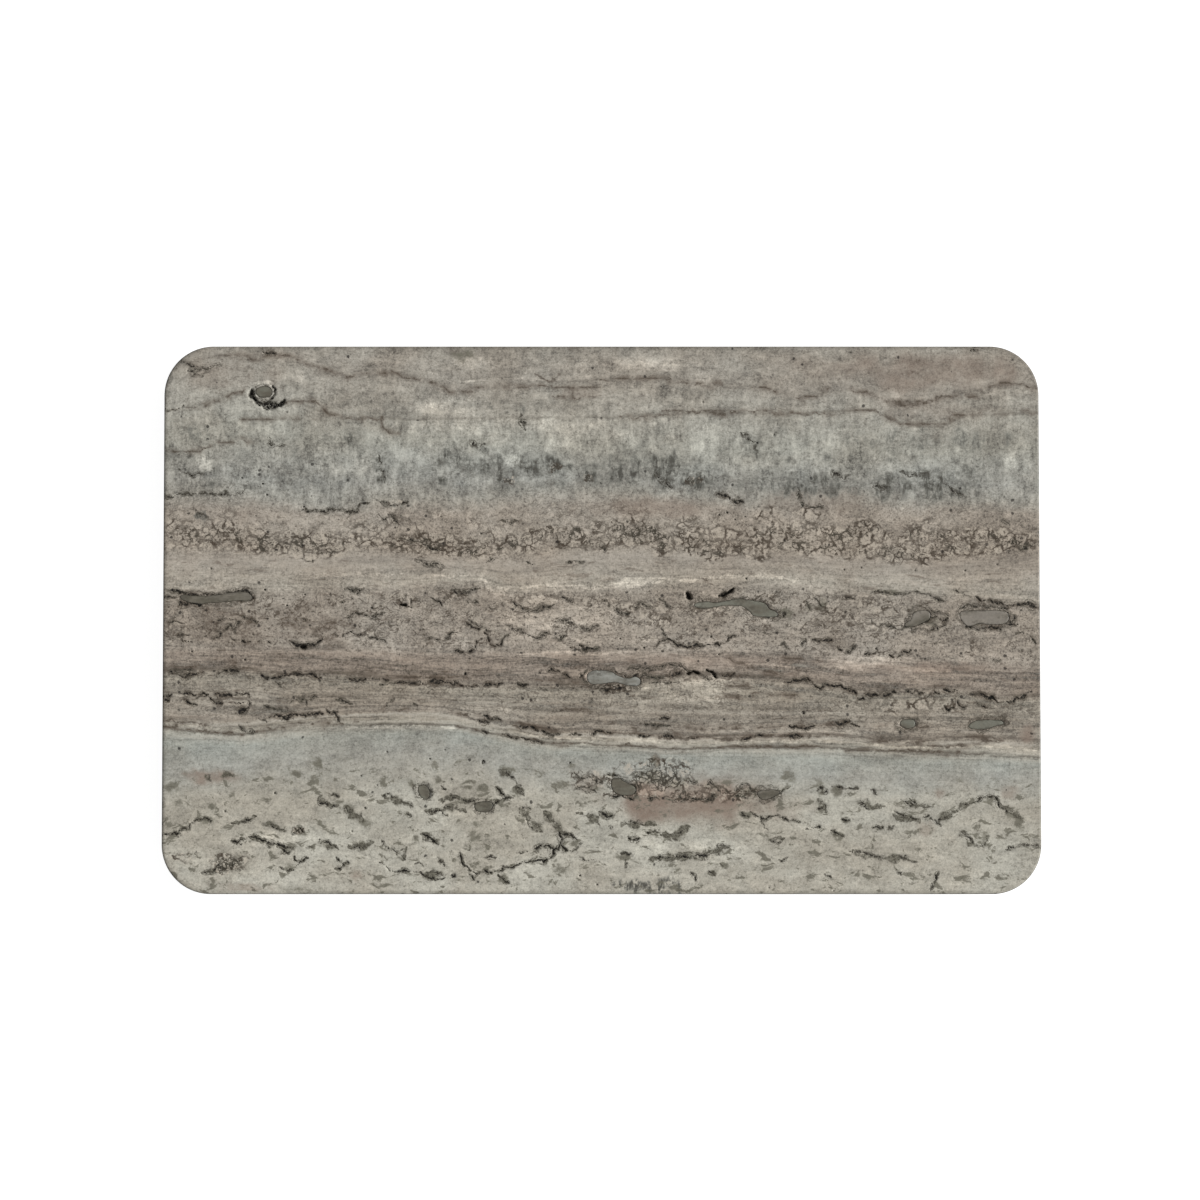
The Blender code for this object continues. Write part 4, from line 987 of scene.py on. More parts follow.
def triangles_over(points, loops):
    """Triangles between flat points that keep the edges of the loops, each a list of points in order."""
    edges = []
    for loop in loops:
        edges += list(zip(loop, np.roll(loop, -1).tolist()))
    result = delaunay_2d_cdt([Vector(p) for p in points.tolist()], edges, [], 0, SAME_POINT)
    source = np.array([entry[0] for entry in result[3]])
    triangles = source[np.array(result[2])]
    a, b, c = (points[triangles[:, k]] for k in range(3))
    area = (b[:, 0] - a[:, 0]) * (c[:, 1] - a[:, 1]) - (b[:, 1] - a[:, 1]) * (c[:, 0] - a[:, 0])
    triangles[area < 0] = triangles[area < 0][:, ::-1]
    return triangles[np.abs(area) > NO_AREA]


def spread(mask, times):
    """A mask grown by one node to each side, as many times as asked."""
    for _ in range(times):
        grown = mask.copy()
        grown[1:] |= mask[:-1]
        grown[:-1] |= mask[1:]
        grown[:, 1:] |= mask[:, :-1]
        grown[:, :-1] |= mask[:, 1:]
        mask = grown
    return mask


def chosen_nodes(maps, outlines):
    """The nodes that the mesh takes.

    It takes all where a map changes quickly, every second one near that, and otherwise every fifth, but none
    near the arris or in a filled hole.
    """
    change = blank()
    for name, values in maps.items():
        scaled = values * WEIGHTS[name]
        for held, given in ((change, scaled), (change.T, scaled.T)):
            step = np.abs(np.diff(given, axis=0))
            held[1:] = np.maximum(held[1:], step)
            held[:-1] = np.maximum(held[:-1], step)
    busy = change > BUSY_CHANGE
    rows, columns = np.indices(busy.shape)
    every_second = (rows % 2 == 0) & (columns % 2 == 0)
    every_fifth = (rows % COARSE == 0) & (columns % COARSE == 0)
    chosen = busy | (spread(busy, NEAR_BUSY) & every_second) | every_fifth
    x = columns * STEP_X - LENGTH / 2
    y = rows * STEP_Y - WIDTH / 2
    chosen &= from_edge(x, y) > ARRIS + ARRIS_MARGIN
    for outline in outlines:
        rim = moved_out(outline, GROOVE + GROOVE_MARGIN)
        low, high = rim.min(0), rim.max(0)
        near = chosen & (x > low[0]) & (x < high[0]) & (y > low[1]) & (y < high[1])
        chosen[near] = ~within(rim, x[near], y[near])
    return x[chosen], y[chosen]


def slab_face(maps, outlines, floors):
    """The face's points, its triangles, and the number of points on its outer ring, which come first.

    A point's height is the slab's top less the map's depth. Round each filling the stone goes down a
    steep wall to the floor of the filled hole.
    """
    struck, outward = rim_places(RIM_POINTS)
    ring = struck + outward * (CORNER_RADIUS - ARRIS)
    flat = [ring]
    heights = [np.full(len(ring), TOP)]
    loops = [list(range(len(ring)))]
    count = len(ring)
    for outline, floor in zip(outlines, floors):
        for extra, height in ((GROOVE, TOP), (GROOVE - GROOVE_SLOPE, floor)):
            flat.append(moved_out(outline, extra))
            heights.append(np.full(len(outline), height))
            loops.append(list(range(count, count + len(outline))))
            count += len(outline)
    x, y = chosen_nodes(maps, outlines)
    flat.append(np.stack([x, y], 1))
    heights.append(TOP - read_map(maps["depth"], x, y))
    points = np.concatenate(flat)
    triangles = triangles_over(points, loops)
    return np.column_stack([points, np.concatenate(heights)]), triangles, len(ring)


def slab_walls(ring_count):
    """The rings of points below the face, and how open the pore at each point is.

    The arrises at the top and bottom are quarter circles. The wall between them is straight, with shallow
    seeded pores in it.
    """
    struck, outward = rim_places(RIM_POINTS)
    turn = np.linspace(0, math.pi / 2, ARRIS_STEPS + 1)[1:]
    falling = ARRIS * (1 - np.sin(turn))
    rising = ARRIS * (1 - np.cos(turn))
    wall = np.linspace(TOP - ARRIS, BOTTOM + ARRIS, WALL_STEPS + 1)[1:]
    insets = np.concatenate([falling, np.zeros(WALL_STEPS), rising])
    heights = np.concatenate([TOP - rising, wall, BOTTOM + falling])
    along = np.arange(ring_count) * RIM_STEP
    rings = []
    pores = []
    for number, (inset, height) in enumerate(zip(insets, heights)):
        on_wall = ARRIS_STEPS <= number < ARRIS_STEPS + WALL_STEPS - 1
        rough = wobble(along * PORE_STRETCH, np.full(ring_count, height / MM), PORE_CELL, seed=5)
        pore = eased(rough, PORE_FROM, PORE_FULL) * on_wall
        out = CORNER_RADIUS - inset - PORE_DEPTH * pore
        rings.append(at_height(struck + outward * out[:, None], height))
        pores.append(pore)
    return np.concatenate(rings), np.concatenate(pores)


def make_slab(maps, outlines, floors, material):
    """The slab as one closed mesh: its face, its walls ring by ring, and its underside."""
    face, face_triangles, ring_count = slab_face(maps, outlines, floors)
    walls, pores = slab_walls(ring_count)
    rings = [np.arange(ring_count), *(len(face) + np.arange(len(walls)).reshape(-1, ring_count))]
    quads = np.concatenate([band(upper, lower) for upper, lower in zip(rings, rings[1:])])
    last_xy = walls[-ring_count:, :2]
    grid_x = np.arange(-UNDER_REACH_X, UNDER_REACH_X + MM, UNDER_STEP_X)
    grid_y = np.arange(-UNDER_REACH_Y, UNDER_REACH_Y + MM, UNDER_STEP_Y)
    gx, gy = np.meshgrid(grid_x, grid_y)
    inner = from_edge(gx, gy) > UNDER_MARGIN
    under_xy = np.stack([gx[inner], gy[inner]], 1)
    under = at_height(under_xy, BOTTOM)
    under_triangles = triangles_over(np.concatenate([last_xy, under_xy]), [list(range(ring_count))])
    numbers = np.concatenate([rings[-1], len(face) + len(walls) + np.arange(len(under))])
    under_triangles = numbers[under_triangles][:, ::-1]
    vertices = np.concatenate([face, walls, under])
    faces = face_triangles.tolist() + quads.tolist() + under_triangles.tolist()
    slab = new_object("slab_travertine", vertices, faces, material)
    add_values(slab, maps, vertices, len(face), pores)
    add_uv(slab, vertices, len(face_triangles), len(quads), ring_count)
    return slab


def add_values(slab, maps, vertices, face_count, pores):
    """Writes each point's bed and map values into attributes. They fade out down the walls.

    A wall point reads the maps a little inside the rim. Shade is painted on the arris from just below the
    face, and less and less from there down the wall.
    """
    x, y, z = vertices.T
    inward = np.hypot(x, y)
    hold = 1 - WALL_READS_INWARD * (np.arange(len(x)) >= face_count) / inward
    below = TOP - z
    fade = 1 - eased(below, FADE_FROM, FADE_TO)
    fade[:face_count] = 1
    values = {name: read_map(maps[name], x * hold, y * hold) * fade for name in MAP_NAMES}
    wall = slice(face_count, face_count + len(pores))
    # The pores of the walls get dirt and painted shade
    values["dirt_and_hollow_shade"][wall] = np.maximum(values["dirt_and_hollow_shade"][wall], PORE_DIRT_AND_SHADE * pores)
    values["bed"] = bed_at(x, y, z) / BEDS_TOTAL
    # Painted shade on the arris, fading down the wall, and a little on the face's outer ring
    dropped = PAINTED_SHADE_DROP * eased(below, FADE_FROM, PAINTED_SHADE_END)
    values["arris"] = eased(below, 0, PAINTED_SHADE_DEPTH) * (1 - dropped)
    values["arris"][:face_count] = 0
    values["arris"][:RIM_POINTS * 4] = PAINTED_RIM_SHADE
    hold_values(slab, values)


def add_uv(slab, vertices, face_triangles, quads, ring_count):
    """Lays the mesh out flat: the face fills most of the square, and the underside and walls lie below it."""
    mesh = slab.data
    loops = np.zeros(len(mesh.loops), np.int64)
    mesh.loops.foreach_get("vertex_index", loops)
    flat = vertices[loops, :2] / LENGTH
    uv = UV_FACE_MIDDLE + UV_FACE_SIZE * flat
    start = face_triangles * 3
    end = start + quads * 4
    uv[end:] = UV_UNDER_MIDDLE + UV_UNDER_SIZE * flat[end:]
    quad = np.arange(quads)
    column = quad % ring_count
    ring = quad // ring_count
    per_strip = ring_count // 4
    strip = column // per_strip
    share = (column % per_strip) / per_strip
    left = UV_STRIP_LEFT + UV_STRIP_LENGTH * share
    right = left + UV_STRIP_LENGTH / per_strip
    rings = quads // ring_count
    high = UV_STRIP_LOW + UV_STRIP_PITCH * strip + UV_STRIP_HEIGHT * (1 - ring / rings)
    low = high - UV_STRIP_HEIGHT / rings
    corners = np.stack([left, high, left, low, right, low, right, high], 1)
    uv[start:end] = corners.reshape(-1, 2)
    mesh.uv_layers.new(name="OFBake").data.foreach_set("uv", uv.astype(np.float32).ravel())


def take_the_place(piece, name):
    """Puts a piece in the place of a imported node, on the tray's one body."""
    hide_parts(name)
    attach(piece, "root")


def make_filling(name, outline, material):
    """One filling: a face that dips a little towards its middle, a soft edge, and straight sides."""
    low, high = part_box(name)
    edge = moved_out(outline, -FILLING_EDGE)
    corner, far = edge.min(0), edge.max(0)
    gx, gy = np.meshgrid(*(np.arange(corner[k], far[k], FILLING_STEP) for k in (0, 1)))
    gx, gy = gx.ravel(), gy.ravel()
    inner = within(moved_out(outline, -FILLING_MARGIN), gx, gy)
    points = np.concatenate([edge, np.stack([gx[inner], gy[inner]], 1)])
    count = len(edge)
    triangles = triangles_over(points, [list(range(count))])
    middles = points[triangles].mean(1)
    triangles = triangles[within(edge, *middles.T)]
    gap = np.min(np.hypot(*(points[:, None] - edge[None]).transpose(2, 0, 1)), 1)
    ripple = FILLING_RIPPLE * wobble(*points.T, FILLING_RIPPLE_CELL, seed=9)
    dip = FILLING_DIP * eased(gap, 0, FILLING_DIP_REACH) + ripple
    top = np.column_stack([points, high.z - FILLING_BELOW_FACE - dip])
    under = at_height(points[count:], low.z)
    shoulder = at_height(outline, high.z - FILLING_EDGE)
    vertices = np.concatenate([top, shoulder, at_height(outline, low.z), under])
    around = np.arange(count)
    shoulder_at = len(top) + around
    foot_at = shoulder_at + count
    under_numbers = np.concatenate([foot_at, len(top) + 2 * count + np.arange(len(under))])
    quads = band(around, shoulder_at).tolist() + band(shoulder_at, foot_at).tolist()
    faces = triangles.tolist() + quads + under_numbers[triangles][:, ::-1].tolist()
    piece = new_object(name.replace("fill_", "filling_"), vertices, faces, material)
    edge_share = np.ones(len(vertices))
    edge_share[:len(top)] -= eased(gap, DIRTY_EDGE_FROM, DIRTY_EDGE_TO)
    hold_values(piece, {"edge": edge_share, "tone": np.full(len(vertices), FILLING_TONES[name])})
    take_the_place(piece, name)


def make_turned(name, profile, piece_name, material):
    """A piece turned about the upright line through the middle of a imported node, whose place it takes.

    The profile lists radius and height from the middle of the underside, outwards and up, to the middle
    of the top. The radius at each end is 0, so that the surface closes there.
    """
    low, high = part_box(name)
    middle = (low + high) / 2
    radii, heights = np.array(profile).T
    turn = np.linspace(0, 2 * math.pi, TURN_STEPS, endpoint=False)
    x = middle.x + np.outer(radii[1:-1], np.cos(turn))
    y = middle.y + np.outer(radii[1:-1], np.sin(turn))
    z = np.repeat(heights[1:-1, None], TURN_STEPS, axis=1)
    vertices = np.stack([x.ravel(), y.ravel(), z.ravel()], 1)
    poles = [[middle.x, middle.y, heights[0]], [middle.x, middle.y, heights[-1]]]
    vertices = np.concatenate([vertices, poles])
    rings = np.arange(x.size).reshape(-1, TURN_STEPS)
    faces = []
    for lower, upper in zip(rings, rings[1:]):
        faces += np.roll(band(upper, lower), -1, axis=1).tolist()
    faces += [[x.size, b, a] for a, b in zip(rings[0].tolist(), np.roll(rings[0], -1).tolist())]
    faces += [[x.size + 1, a, b] for a, b in zip(rings[-1].tolist(), np.roll(rings[-1], -1).tolist())]
    take_the_place(new_object(piece_name, vertices, faces, material), name)


def foot_profile(low, high, radius):
    """A bumper: a flat face with a soft edge, a side that flares upwards, and a short straight brim."""
    face = FOOT_FACE * radius
    soft = FOOT_SOFT_EDGE
    bend = np.linspace(0, math.pi / 2, FOOT_BEND_POINTS)
    edge = [(face - soft + soft * math.sin(a), low + soft * (1 - math.cos(a))) for a in bend]
    share = np.linspace(FOOT_FLARE_START, 1, FOOT_FLARE_POINTS)
    rest = (high - low) * FOOT_FLARE_TOP - soft
    flare = [(face + (radius - face) * s ** FOOT_FLARE_POWER, low + soft + rest * s) for s in share]
    brim = [(radius, high - FOOT_BRIM), (radius - FOOT_BRIM, high)]
    return [(0, low), (0.5 * face, low)] + edge + flare + brim + [(0.5 * radius, high), (0, high)]


def tape_profile(low, high, radius):
    """A foam disc that is squeezed a little between the foot and the stone, so that its side bulges."""
    share = np.linspace(0, 1, TAPE_POINTS)
    side = [(radius - TAPE_BULGE * (2 * s - 1) ** 2, low + (high - low) * s) for s in share]
    return [(0, low), (0.5 * radius, low)] + side + [(0.5 * radius, high), (0, high)]


# Materials
def srgb(red, green, blue):
    """A colour as screens count it, from 0 to 255, in the linear values that shaders take."""
    shares = np.array([red, green, blue]) / 255
    linear = np.where(shares <= 0.04045, shares / 12.92, ((shares + 0.055) / 1.055) ** 2.4)
    return (*linear.tolist(), 1.0)


class Recipe:
    """A node tree, of a material or of an effect that materials share, written step by step."""

    def __init__(self, tree):
        self.tree = tree

    def node(self, kind, inputs, **settings):
        """Adds a node, and sets or links its inputs, each found by its name or number."""
        made = self.tree.nodes.new("ShaderNode" + kind)
        for setting, value in settings.items():
            setattr(made, setting, value)
        for key, value in inputs.items():
            if isinstance(value, bpy.types.NodeSocket):
                self.tree.links.new(value, made.inputs[key])
            else:
                made.inputs[key].default_value = value
        return made

    def maths(self, operation, first, second=0.0):
        """The result of one operation on two values."""
        return self.node("Math", {0: first, 1: second}, operation=operation).outputs[0]

    def product(self, first, *others):
        """Values multiplied together."""
        for other in others:
            first = self.maths("MULTIPLY", first, other)
        return first

    def total(self, first, *others):
        """Values added together."""
        for other in others:
            first = self.maths("ADD", first, other)
        return first

    def about(self, value, size):
        """A noise value moved to lie about 0, times a size."""
        return self.product(self.maths("SUBTRACT", value, 0.5), size)

    def rise(self, value, low, high):
        """0 at low, 1 at high, and a smooth rise between them."""
        inputs = {"Value": value, "From Min": low, "From Max": high}
        return self.node("MapRange", inputs, interpolation_type="SMOOTHSTEP").outputs[0]

    def stretched(self, place, x, y, z=1.0):
        """A place with each of its three measures multiplied: below 1, a pattern gets longer that way."""
        return self.node("VectorMath", {0: place, 1: (x, y, z)}, operation="MULTIPLY").outputs[0]

    def noise(self, place, scale, detail=3.0, roughness=0.55, distortion=0.0):
        """A noise value about 0.5, with so many waves to the metre as the scale says."""
        inputs = {"Vector": place, "Scale": scale, "Detail": detail, "Roughness": roughness,
                  "Distortion": distortion}
        return self.node("TexNoise", inputs).outputs[0]

    def bent(self, place, scale, detail, reach):
        """A place moved by up to a reach, in metres, by a noise of its own for each way."""
        push = self.node("TexNoise", {"Vector": place, "Scale": scale, "Detail": detail}).outputs["Color"]
        inputs = {0: push, 1: (reach,) * 3, 2: place}
        return self.node("VectorMath", inputs, operation="MULTIPLY_ADD").outputs[0]

    def contours(self, noise, width, level=0.5):
        """Thin lines where a noise passes a level. The width is how far from the level they still show."""
        off = self.maths("ABSOLUTE", self.maths("SUBTRACT", noise, level))
        return self.rise(off, width, self.product(width, 0.15))

    def between(self, share, first, second):
        """A value that goes from the first to the second as the share goes from 0 to 1."""
        return self.node("Mix", {0: share, 2: first, 3: second}, data_type="FLOAT").outputs[0]

    def cells(self, place, scale, feature):
        """Irregular cells: the distance to a cell's middle or edge, and each cell's own colour."""
        return self.node("TexVoronoi", {"Vector": place, "Scale": scale}, feature=feature).outputs

    def held(self, name):
        """The value that the mesh holds under that name."""
        return self.node("Attribute", {}, attribute_name=name).outputs["Fac"]

    def object_place(self):
        """A point's place on the object, in metres."""
        return self.node("TexCoord", {}).outputs["Object"]

    def ramp(self, value, stops):
        """A colour that changes with a value, from stop to stop."""
        made = self.node("ValToRGB", {0: value})
        elements = made.color_ramp.elements
        elements.remove(elements[1])
        elements[0].position, elements[0].color = stops[0]
        for position, colour in stops[1:]:
            elements.new(position).color = colour
        return made.outputs["Color"]

    def parts(self, colour):
        """A colour's red, green and blue."""
        return tuple(self.node("SeparateColor", {0: colour}).outputs)

    def blend(self, share, under, over, kind="MIX"):
        """One colour laid over another, as strongly as the share says."""
        inputs = {0: share, 6: under, 7: over}
        return self.node("Mix", inputs, data_type="RGBA", blend_type=kind).outputs[2]

    def grained(self, effect, colour, amount, scale):
        """The shared grain on a colour: its varied colour and its height."""
        inputs = {"Colour": colour, "Amount": amount, "Scale": scale}
        return self.node("Group", inputs, node_tree=effect).outputs

    def finish(self, shader, colour, height, strength, distance, roughness):
        """Links the colour, the bumps and the roughness to the shader."""
        bump = self.node("Bump", {"Height": height, "Strength": strength, "Distance": distance})
        for socket, value in (("Base Color", colour), ("Normal", bump.outputs[0]), ("Roughness", roughness)):
            self.tree.links.new(value, shader.inputs[socket])


def new_material(name, **constants):
    """A material with its recipe and its shader, whose constants are set on the shader's own sockets."""
    material = bpy.data.materials.new(name)
    material.use_nodes = True
    shader = material.node_tree.nodes["Principled BSDF"]
    for socket, value in constants.items():
        shader.inputs[socket.replace("_", " ")].default_value = value
    return material, Recipe(material.node_tree), shader


def grain_effect():
    """The fine grain that every surface here has: it varies a colour, and gives a height to bump by."""
    group = bpy.data.node_groups.new("Fine grain", "ShaderNodeTree")
    sockets = (("Colour", "INPUT", "Color"), ("Amount", "INPUT", "Float"), ("Scale", "INPUT", "Float"),
               ("Colour", "OUTPUT", "Color"), ("Height", "OUTPUT", "Float"))
    for name, way, kind in sockets:
        group.interface.new_socket(name=name, in_out=way, socket_type="NodeSocket" + kind)
    recipe = Recipe(group)
    given = group.nodes.new("NodeGroupInput").outputs
    place = recipe.object_place()
    fine = recipe.noise(place, given["Scale"], 2.0, 0.6)
    broad = recipe.noise(place, recipe.product(given["Scale"], 0.11), 3.0, 0.6)
    swing = recipe.total(recipe.about(fine, 1.0), recipe.about(broad, 0.7))
    shade = recipe.total(1.0, recipe.product(swing, given["Amount"]))
    result = group.nodes.new("NodeGroupOutput")
    group.links.new(recipe.blend(1.0, given["Colour"], shade, "MULTIPLY"), result.inputs["Colour"])
    group.links.new(fine, result.inputs["Height"])
    return group


# Beds' colours by how many pixels of stone lie behind them
BED_COLOURS = (
    (0, (149, 144, 134)), (36, (149, 143, 133)), (44, (152, 147, 137)), (70, (153, 149, 139)),
    (100, (157, 155, 145)), (118, (154, 153, 145)), (136, (148, 147, 140)), (150, (150, 147, 138)),
    (164, (153, 145, 134)), (203, (147, 138, 126)), (214, (154, 146, 135)), (238, (157, 150, 138)),
    (248, (146, 138, 127)), (262, (144, 136, 125)), (303, (152, 144, 133)), (311, (136, 126, 115)),
    (328, (131, 121, 110)), (338, (138, 131, 119)), (376, (139, 131, 120)), (384, (150, 144, 132)),
    (400, (153, 154, 146)), (418, (156, 155, 147)), (448, (169, 165, 153)), (569, (174, 170, 158)),
)
# How laminated, grainy and mottled they are
BED_HABITS = (
    (0, (.25, .1, .9)), (60, (.2, .15, 1)), (76, (.1, .1, 1)), (150, (.1, .2, 1)), (165, (.12, .5, .7)),
    (204, (.15, .8, .6)), (212, (.3, .12, .35)), (240, (.5, .05, .3)), (250, (.25, .6, .6)),
    (300, (.3, .5, .6)), (310, (1, .1, .5)), (333, (.9, .3, .5)), (345, (.6, .4, .6)),
    (372, (.9, .2, .5)), (392, (.8, .1, .3)), (402, (.2, .05, .5)), (430, (.1, .05, .4)),
)
# How porous, crinkled and patchy they are
BED_VOIDS = (
    (0, (.1, .35, 0)), (76, (.1, .3, 0)), (100, (.1, .2, 0)), (160, (.3, .4, 0)), (206, (.3, .5, 0)),
    (215, (.1, .05, 0)), (244, (.1, .1, 0)), (252, (.7, 1, 0)), (300, (.7, .9, 0)), (310, (.2, .1, 0)),
    (335, (.3, .7, 0)), (372, (.3, .5, 0)), (380, (0, 0, 0)), (412, (.05, 0, .1)), (435, (.1, .2, .9)),
    (569, (.1, .2, 1)),
)
# How upright, gritty and dashed they are
BED_FABRICS = (
    (0, (.2, .6, .2)), (90, (.7, .5, 0)), (150, (.9, .6, 0)), (165, (.2, .8, .2)), (204, (0, 1, .3)),
    (214, (0, .4, .8)), (246, (0, 1, .6)), (300, (0, .9, .5)), (330, (0, 1, .8)), (372, (0, .8, .6)),
    (400, (.3, .5, 0)), (430, (0, .45, 0)),
)
# Dark and pale lines that follow the beds: the bed, the reach behind and ahead of it, and the strength
DARK_STRIPES = (
    (37.5, 3.0, 1.6, .25), (71, 2.0, 1.4, .4), (332, 6, 1.6, .75), (346, 1.3, 1.0, .35),
    (353, 1.0, 1.0, .4), (359.5, 1.4, 1.0, .4), (366, 1.1, 1.0, .4), (376.5, 1.7, 1.4, .9),
    (383, 1.1, 0.9, .5), (389, 1.5, 1.1, .8),
)
PALE_STRIPES = (
    (33, 1.5, 1.5, .3), (337, 1.3, 1.3, .3), (349.5, 1.2, 1.2, .3), (356, 1.3, 1.3, .4),
    (363, 1.3, 1.3, .35), (372, 1.8, 1.6, .35), (380, 1.7, 1.6, .8), (386, 1.6, 1.5, .8),
    (393, 2.0, 2.0, .5),
)
# Stone is pinker here and cooler there
TINTS = ((0.4, (1.018, 0.996, 0.978, 1)), (0.6, (0.988, 1.003, 1.014, 1)))
BROWN_LINE = srgb(92, 80, 69)
CREAM = srgb(180, 174, 162)
PALER = (1.55, 1.55, 1.55, 1.0)
PINK = srgb(131, 116, 104)
CLOUD_GREY = srgb(98, 98, 92)
CLOUD_CORE = srgb(52, 50, 44)
CLOT_DARK = srgb(62, 53, 43)
CLOT_PALE = srgb(184, 174, 159)
OLIVE = srgb(102, 99, 87)
# Dark olive of rims and crumbs, and also the colour of the shade painted on the arris
OLIVE_RIM_AND_ARRIS_SHADE = srgb(54, 50, 41)
# Near-black of dirt and of the shade painted in holes, cracks and pores
HOLE_DIRT_AND_SHADE = srgb(20, 18, 16)
DEEP_FILLER = srgb(82, 77, 65)
# How strongly shade is painted on the arris
PAINTED_ARRIS_SHADE = 0.7
RUBBER_BLACK = srgb(52, 50, 48)
FOAM_WHITE = srgb(205, 202, 192)
# Each filler's slot, its material's name, its colour and the colour of its smears
FILLERS = (
    ("green_grey_filler", "Green-grey filler", srgb(106, 106, 95), srgb(118, 117, 105)),
    ("brown_grey_filler", "Brown-grey filler", srgb(119, 113, 104), srgb(131, 124, 114)),
    ("blue_grey_filler", "Blue-grey filler", srgb(139, 139, 132), srgb(150, 150, 143)),
)


def stone_material(grain):
    """Honed travertine: colours and habits by bed; veins, clots, patches, pores, dirt and painted shade over
    them.
    """
    material, r, shader = new_material("Travertine", IOR=1.45, Specular_IOR_Level=0.2)
    place = r.object_place()
    bed = r.held("bed")

    def by_bed(stops):
        """A colour, or three values in one, for each bed."""
        return r.ramp(bed, [(at / BEDS_TOTAL, (*values, 1.0)) for at, values in stops])

    laminated, grainy, mottled = r.parts(by_bed(BED_HABITS))
    porous, crinkled, patchy = r.parts(by_bed(BED_VOIDS))
    upright, gritty, dashed = r.parts(by_bed(BED_FABRICS))

    # Noises from the broadest to the finest
    broad = r.noise(r.stretched(place, 0.7, 1.0), 36, 4.0, 0.6)
    along = r.noise(r.stretched(place, 0.55, 1.1), 120, 5.0, 0.72, 0.8)
    columns = r.noise(r.stretched(place, 1.6, 0.6), 130, 5.0, 0.72, 0.4)
    mottle = r.between(upright, along, columns)
    fibres = r.noise(r.stretched(place, 2.0, 0.5), 280, 3.0, 0.7, 0.3)
    patchwork = r.noise(r.stretched(place, 0.6, 1.0), 150, 5.0, 0.7)
    ground = r.noise(r.stretched(place, 0.7, 1.0), 190, 5.0, 0.72, 0.3)
    small = r.noise(r.stretched(place, 0.8, 1.0), 400, 4.0, 0.7, 0.5)
    fine = r.noise(place, 520, 4.0, 0.75)
    crumb = r.noise(place, 1150, 2.0, 0.8)
    broken = r.rise(crumb, 0.4, 0.56)

    # Angular patches, each of its own shade, with ragged edges
    moved = r.bent(place, 420.0, 3.0, 12 * MM)
    clast = r.parts(r.cells(r.stretched(moved, 0.75, 1.0), 165, "F1")["Color"])[0]
    chip = r.parts(r.cells(moved, 380, "F1")["Color"])[0]
    angular = r.total(r.about(clast, 0.23), r.about(chip, 0.2))
    ridges = r.total(r.product(r.contours(ground, 0.04), -0.12), r.product(r.contours(small, 0.045), -0.08))

    # Laminae follow the beds: noise that is drawn out along them
    across = r.node("SeparateXYZ", {0: place}).outputs[0]
    through = r.total(r.product(bed, BEDS_TOTAL * PIXEL), r.about(broad, 3 * MM), r.about(patchwork, MM))
    bed_place = r.node("CombineXYZ", {0: r.product(across, 0.06), 1: through}).outputs[0]
    lamina = r.noise(bed_place, 300, 5.0, 0.85)

    shade = r.total(1.0, r.product(r.about(lamina, 5.0), laminated), r.product(r.about(mottle, 2.6), mottled),
                    r.product(r.about(fibres, 1.1), upright),
                    r.product(r.total(angular, ridges, 0.03), mottled), r.about(broad, 0.9),
                    r.product(r.total(r.about(crumb, 1.6), r.about(fine, 2.2)), gritty))
    bed_colour = by_bed([(at, srgb(*values)[:3]) for at, values in BED_COLOURS])
    colour = r.blend(1.0, bed_colour, r.ramp(broad, TINTS), "MULTIPLY")
    colour = r.blend(1.0, colour, shade, "MULTIPLY")
    dark_lamina = r.product(r.rise(lamina, 0.56, 0.66), laminated, 0.6)
    pale_lamina = r.product(r.rise(lamina, 0.42, 0.34), laminated, 0.4)
    colour = r.blend(dark_lamina, colour, BROWN_LINE)
    colour = r.blend(pale_lamina, colour, CREAM)
    ragged_bed = r.total(bed, r.about(patchwork, 0.016), r.about(fine, 0.01))
    runs = r.noise(r.stretched(place, 0.1, 1.0), 130, 3.0, 0.6)

    def stripes(lines, runs_on):
        """Thin ragged lines along the beds, which fade out where the noise is low."""
        stops = [stop for at, behind, ahead, strength in lines
                 for stop in ((at - behind, 0.0), (at, strength), (at + ahead, 0.0))]
        drawn = r.parts(r.ramp(ragged_bed, [(at / BEDS_TOTAL, (v, v, v, 1.0)) for at, v in stops]))[0]
        return r.product(drawn, runs_on, r.total(0.7, r.product(broken, 0.3)))

    colour = r.blend(stripes(PALE_STRIPES, r.rise(runs, 0.62, 0.48)), colour, CREAM)
    colour = r.blend(stripes(DARK_STRIPES, r.rise(runs, 0.38, 0.5)), colour, CLOT_DARK)
    dashes = r.noise(r.stretched(place, 0.28, 1.0), 380, 3.0, 0.6)
    colour = r.blend(r.product(r.rise(dashes, 0.6, 0.7), dashed, 0.7), colour, BROWN_LINE)

    def uneven(name, noise, gain):
        """A held value made uneven by a noise, where there is any."""
        return r.product(r.held(name), r.total(1.0, r.about(noise, gain)))

    colour = r.blend(r.rise(uneven("blush", ground, 1.2), 0.0, 1.05), colour, PINK)
    streaky = r.total(r.product(columns, 0.5), r.product(fibres, 0.25), r.product(small, 0.25))
    cloud = uneven("cloud", streaky, 19.0)
    colour = r.blend(r.product(r.rise(cloud, 0.05, 1.0), 0.75), colour, CLOUD_GREY)
    colour = r.blend(r.product(r.rise(cloud, 0.7, 1.7), 0.75), colour, CLOUD_CORE)
    pale = r.rise(uneven("cream", patchwork, 5.0), 0.1, 0.95)
    colour = r.blend(pale, colour, r.blend(1.0, colour, PALER, "MULTIPLY"))

